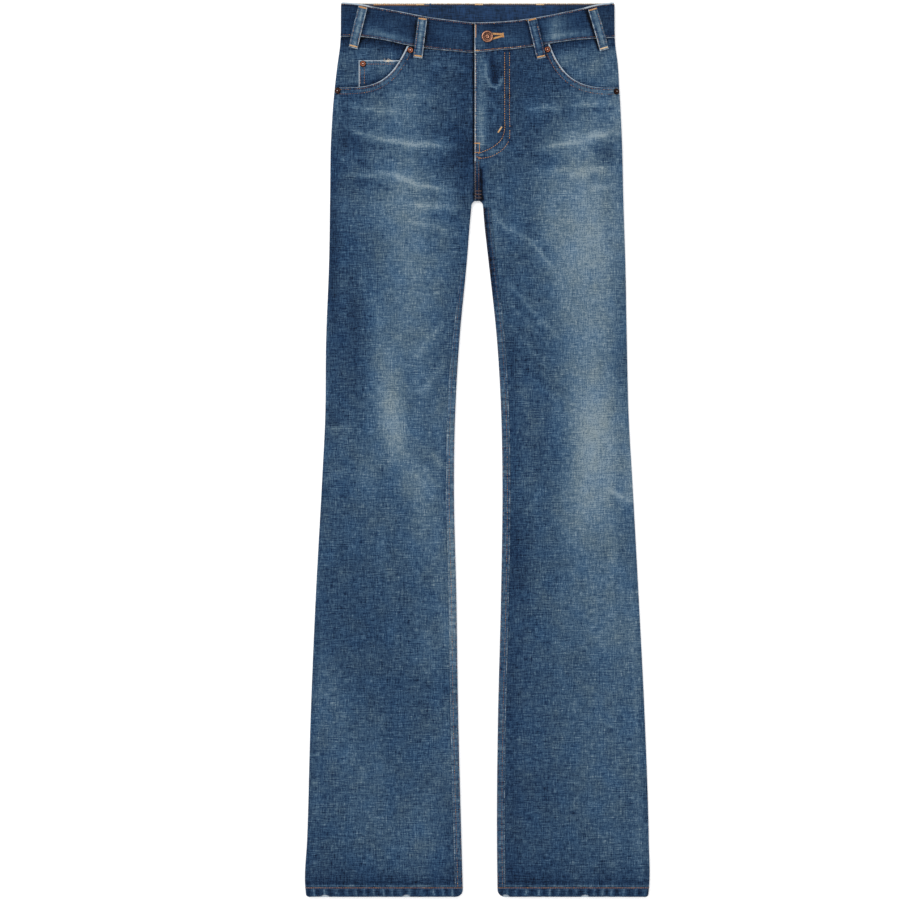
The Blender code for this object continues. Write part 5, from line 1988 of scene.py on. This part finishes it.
def fray_coin_pocket(sewing):
    """Loose pale threads on the worn upper edge of the coin pocket."""
    spots = np.array(FRAY_MIDDLE) + random.normal(0, 1, (FRAY_THREADS, 2)) * (2.8, 1.0)
    across, down = spots.T
    middles = world(across, down, coin_height(RIGHT, across, down) + 0.25)
    ways = random.normal(0, 1, (FRAY_THREADS, 3)) * (1.0, 0.8, 0.1)
    tones = np.clip(random.normal(0.95, 0.05, FRAY_THREADS), 0, 1)
    sewing.add(stitch_form(2.4, 0.26, 0.22, 0.0), middles, ways, np.tile(UPWARDS, (FRAY_THREADS, 1)), tones)


BUTTONHOLE = ((18.0, 41.8), (32.5, 40.2))       # across, down of its slit's two ends
BUTTONHOLE_STITCHES = 34                        # on each side of the slit


def sew_buttonhole(sewing):
    """Keyhole of close thread from the button towards the left hip, with its slit and end bar."""
    slit_start, slit_end = np.array(BUTTONHOLE)
    way = (slit_end - slit_start) / np.hypot(*(slit_end - slit_start))
    beside = np.array((-way[1], way[0]))
    up = np.array(UPWARDS)
    form = stitch_form(2.9, 0.52, 0.5, 0.15)
    count = BUTTONHOLE_STITCHES
    share = np.linspace(0, 1, count)
    reach = 1.3 + 2.2 * (1 - share) ** 1.1
    for hand in (-1, 1):
        places = slit_start + (slit_end - slit_start) * share[:, None] + beside * hand * reach[:, None]
        middles = world(places[:, 0], places[:, 1], FLAP_BAND_TOP + 0.30)
        along = np.tile((beside[0], -beside[1], 0.0), (count, 1))
        along = along + random.normal(0, 0.08, (count, 3)) * (1, 1, 0)
        sewing.add(form, middles, along, np.tile(up, (count, 1)), random.normal(0.58, 0.05, count))
    ends = [world(*end, FLAP_BAND_TOP + 0.08) for end in (slit_start, slit_end)]
    run = (ends[1] - ends[0])[None]
    slit = stitch_form(np.linalg.norm(run) / MM, 1.2, 0.3, 0.0)
    sewing.add(slit, (ends[0] + ends[1])[None] / 2, run, up[None], np.array([0.0]))
    bar = world(*(slit_end + way * 1.2), FLAP_BAND_TOP)
    sewing.bartack(bar, (beside[0], -beside[1], 0), up, 5.6, 2.4, 0.58)
    flap_end = world(-1.9, 35.0, FLAP_BAND_TOP - 0.1)
    sewing.bartack(flap_end, (0, 1, 0), up, 16, 1.3, 0.55)
    sewing.bartack(world(-0.6, 60.0, FLAP_BAND_TOP - 0.2), (1, 0, 0), up, 4.5, 1.8, 0.45)


LOOP_SEAMS = (
    # for each front loop: tone of its lower bartack; grid column, rows, tone of two lines of stitches
    (0.72, (3, slice(4, 40), 0.24), (-4, slice(14, 40), 0.34)),
    (0.64, (3, slice(4, 40), 0.44), (-4, slice(20, 40), 0.26)),
    (0.66, (3, slice(20, 40), 0.24), (-4, slice(4, 40), 0.28)),
    (0.84, (3, slice(22, 40), 0.32), (-4, slice(6, 38), 0.24)),
)
BAND_STITCHES = (
    # row of the waistband's grid, columns, tone, form, spread, pitch
    (5, slice(0, 92), 0.24, FINE_STITCH, 0.14, 3.0),
    (5, slice(180, None), 0.26, FINE_STITCH, 0.14, 3.0),
    (-6, slice(0, -30), 0.20, FINE_STITCH, 0.12, 2.5),
    (-6, slice(-31, None), 0.50, TOP_STITCH, 0.22, 2.5),
)
INSIDE_ROWS = (
    # across from, to, distance from the top edge, tone: rows on the inside of the back
    (-172, -60, 1.2, 0.97),
    (-135, -75, 2.4, 0.48),
    (-60, 172, 1.1, 0.92),
    (-60, 172, 2.5, 0.06),
    (-150, -60, 3.7, 0.05),
)


def sew_band():
    sewing = Thread("thread_band")
    for row, part, tone, form, spread, pitch in BAND_STITCHES:
        sewing.grid_row("waistband_cloth", tone, row, part=part, pitch=pitch, form=form, spread=spread)
    for low, high, from_top, tone in INSIDE_ROWS:
        along = np.arange(low, high, 2.0)
        line = world(along, from_top - BAND_RISE, BACK_LIFT + BAND_WALL + 0.1)
        sewing.row(line, np.tile(UPWARDS, (len(along), 1)), tone, form=EDGE_STITCH, pitch=2.6, skipped=0.0)
    for number, (tack_tone, *seams) in enumerate(LOOP_SEAMS, 1):
        name = f"belt_loop_{number}_cloth"
        grid, normals = faces_of[name]
        for column, part, tone in seams:
            sewing.grid_row(name, tone, column=column, part=part, form=FINE_STITCH, skipped=0.08,
                            spread=0.14)
        for row, tone in ((1, 0.6), (-3, tack_tone)):
            width = grid[row, -1] - grid[row, 0]
            sewing.bartack(grid[row, 6], width, normals[row, 6], 9.8, 2.3, tone)
    sew_buttonhole(sewing)
    for across in BACK_LOOP_PLACES:
        middle = world(across, 2.2 - BAND_RISE, BACK_LIFT + BAND_WALL + 0.4)
        sewing.bartack(middle, (1, 0, 0), UPWARDS, 10, 2.0, TAN)
    sewing.make()


def sew_pocket_line(sewing, side, ends, count, tone):
    """Stitches on a back pocket between two places: outward from its middle, down from its top."""
    ends = [(side * (BACK_POCKET_MIDDLE + out), BACK_POCKET_TOP + fall) for out, fall in ends]
    line = np.linspace(*ends, count)
    sewing.row(world(line[:, 0], line[:, 1], 0.0), np.tile(DOWNWARDS, (count, 1)), tone)


def sew_back():
    sewing = Thread("thread_back")
    for side in SIDES:
        for below in (1.8, 7.8):
            line = smooth_line(((side * 2, YOKE_CENTRE + below), (side * 176, YOKE_SIDE + 1 + below)))
            sewing.surface_row(line, back_height, side, BROWN, looks=-1)
        for inset in (2.4, 8.4):
            half, foot = BACK_POCKET_HALF - inset, BACK_POCKET_FOOT - inset
            low, tip = BACK_POCKET_SIDE - 0.3 * inset, BACK_POCKET_TIP - inset * 1.15
            corners = [(-half, 3), (-foot, low), (0, tip), (foot, low), (half, 3)]
            for ends in zip(corners, corners[1:]):
                sew_pocket_line(sewing, side, ends, 40, BROWN + 0.05)
        sew_pocket_line(sewing, side, ((-67, 13), (67, 13)), 60, BROWN)
        for out in (-66, 66):
            middle = world(side * (BACK_POCKET_MIDDLE + out), BACK_POCKET_TOP + 6, 0.0)
            sewing.bartack(middle, (0, 1, 0), DOWNWARDS, 9, 2.0, TAN)
    for inset in (1.8, 7.8):
        line = smooth_line(((inset, YOKE_CENTRE + 2), (inset, ARCH_TOP - 2)))
        sewing.surface_row(line, back_height, LEFT, BROWN, looks=-1)
    for across in BACK_LOOP_PLACES:
        for down in (2.6, BACK_LOOP_LENGTH - 2):
            sewing.bartack(world(across, down, 0.0), (1, 0, 0), DOWNWARDS, 10, 2.0, TAN)
    sewing.make()


sew_front()
sew_band()
sew_back()


# ---- metal ----
def turned(name, profile, steps, place, tilt, material):
    """A turned piece from a profile of (out, up) in millimetres, from the top's middle down."""
    profile = np.array(profile, dtype=float)
    out, up = profile[1:-1, :2].T
    angles = np.linspace(0, 2 * math.pi, steps, endpoint=False)
    rings = np.stack((out[:, None] * np.cos(angles), out[:, None] * np.sin(angles),
                      up[:, None] + 0 * angles), axis=-1).reshape(-1, 3)
    points = np.concatenate((rings, [(0, 0, profile[0, 1]), (0, 0, profile[-1, 1])]))
    lean = np.array(((math.cos(tilt), 0, math.sin(tilt)), (0, 1, 0), (-math.sin(tilt), 0, math.cos(tilt))))
    points = points @ lean.T * MM + world(*place)
    faces = grid_faces(len(out), steps, True).tolist()
    top, bottom = len(rings), len(rings) + 1
    last = (len(out) - 1) * steps
    for k in range(steps):
        n = (k + 1) % steps
        faces.append([top, k, n])
        faces.append([bottom, last + n, last + k])
    polish = np.concatenate((np.repeat(profile[1:-1, 2], steps), (profile[0, 2], profile[-1, 2])))
    piece = add_piece(name, points, faces, {"polish": polish}, material, 38)
    return piece


BUTTON_PROFILE = (
    # out, up, polish
    (0.0, 1.7, -0.10),
    (0.5, 1.75, -0.10),
    (1.0, 2.15, 0.10),
    (1.6, 2.45, 0.12),
    (2.3, 2.42, 0.0),
    (2.7, 2.1, -0.25),
    (3.1, 1.95, -0.30),
    (3.7, 1.98, -0.05),
    (4.3, 1.98, -0.02),
    (4.7, 2.0, -0.24),
    (5.1, 2.15, -0.20),
    (5.6, 2.55, 0.06),
    (6.3, 2.6, 0.10),
    (6.9, 2.35, 0.0),
    (7.35, 1.9, -0.15),
    (7.5, 1.4, -0.25),
    (7.2, 0.95, -0.3),
    (6.0, 0.75, -0.3),
    (3.5, 0.6, -0.3),
    (3.2, 0.3, -0.3),
    (3.2, 0.0, -0.3),
    (0.0, 0.0, -0.3),
)
BUTTON_SPREAD = 1.05        # the worn rim reaches a little past the solid's
BUTTON_TARNISH = 0.04
RIVET_PROFILE = (
    # out, up, polish
    (0.0, 1.5, 0.6),
    (0.45, 1.68, 0.6),
    (0.9, 1.6, 0.35),
    (1.15, 1.25, -0.30),
    (1.5, 1.0, -0.40),
    (2.0, 1.02, -0.10),
    (2.6, 1.2, 0.06),
    (3.2, 1.12, -0.05),
    (3.8, 0.8, -0.35),
    (4.15, 0.4, -0.40),
    (4.2, 0.1, -0.40),
    (4.1, 0.0, -0.40),
    (0.0, 0.0, -0.40),
)


def rivets():
    """Rivets, each set just clear of the cloth under its whole base."""
    reach = np.linspace(-RIVET_RADIUS, RIVET_RADIUS, 9)
    for index, (across, down, drop, tilt) in enumerate(RIVETS):
        side = RIGHT if across < 0 else LEFT
        surface = front_height(side, across + reach * math.cos(tilt), down + 0 * reach) - drop
        clear = np.max(surface + reach * math.sin(tilt)) + GAP / math.cos(tilt)
        name = f"rivet_{index + 1}"
        # the tilted side rivets take the darker copy of the copper, as painted shade
        finish = shaded_copper if tilt else copper
        piece = turned(name + "_cap", RIVET_PROFILE, 40, (across, down, clear), tilt, finish)
        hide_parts(name)


def waist_button():
    profile = [(BUTTON_SPREAD * out, up, polish - BUTTON_TARNISH) for out, up, polish in BUTTON_PROFILE]
    place = (*BUTTON_PLACE, FLAP_BAND_TOP + GAP)
    piece = turned("waist_button_cap", profile, 64, place, 0.0, button_copper)
    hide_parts("waist_button")


rivets()
waist_button()
for node, finish in (("fly_zip", zip_tape), ("zip_slider", brass)):
    mesh = frame["nodes"][node].data
    mesh.materials.clear()
    mesh.materials.append(finish)


# ---- floor, light and camera, in metres ----
FLOOR_REACH = 6.0
FLOOR_HEIGHT = -0.0006      # just under the garment
LIGHTS = (
    # name, place, size, power
    ("key", (-1.3, 1.6, 2.7), 1.8, 50),
    ("fill", (2.2, -1.0, 2.6), 2.4, 12),
)
WORLD_STRENGTH = 0.76
CAMERA_PLACE = (-0.0354, 0.001, 3.256)
CAMERA_LENS = 100


def add_floor():
    mesh = bpy.data.meshes.new("floor")
    corners = ((-1, -1), (1, -1), (1, 1), (-1, 1))
    points = [(x * FLOOR_REACH, y * FLOOR_REACH, FLOOR_HEIGHT) for x, y in corners]
    mesh.from_pydata(points, [], [(0, 1, 2, 3)])
    material, _, shader = new_material("floor_paint", 0.9)
    shader.inputs["Base Color"].default_value = (0.90, 0.90, 0.90, 1)
    shader.inputs["Emission Color"].default_value = (1, 1, 1, 1)
    shader.inputs["Emission Strength"].default_value = 0.35
    mesh.materials.append(material)
    floor = bpy.data.objects.new("floor", mesh)
    bpy.context.scene.collection.objects.link(floor)


def add_light(name, place, size, power):
    """A square area light that faces the middle of the garment."""
    light = bpy.data.lights.new(name, "AREA")
    light.size = size
    light.energy = power
    thing = bpy.data.objects.new(name, light)
    thing.location = place
    x, y, z = place
    thing.rotation_euler = (math.atan2(math.hypot(x, y), z), 0, math.atan2(x, -y))
    bpy.context.scene.collection.objects.link(thing)


def add_world(strength):
    """Even white light from all around."""
    studio = bpy.data.worlds.new("studio")
    studio.use_nodes = True
    background = studio.node_tree.nodes["Background"]
    background.inputs["Color"].default_value = (1, 1, 1, 1)
    background.inputs["Strength"].default_value = strength
    bpy.context.scene.world = studio


def add_camera(place, lens):
    """A camera that looks straight down."""
    data = bpy.data.cameras.new("camera")
    data.lens = lens
    data.sensor_width = 36
    camera = bpy.data.objects.new("camera", data)
    camera.location = place
    bpy.context.scene.collection.objects.link(camera)
    bpy.context.scene.camera = camera


add_floor()
for light_name, light_place, light_size, light_power in LIGHTS:
    add_light(light_name, light_place, light_size, light_power)
add_world(WORLD_STRENGTH)
add_camera(CAMERA_PLACE, CAMERA_LENS)
bpy.context.scene.view_settings.view_transform = "Standard"
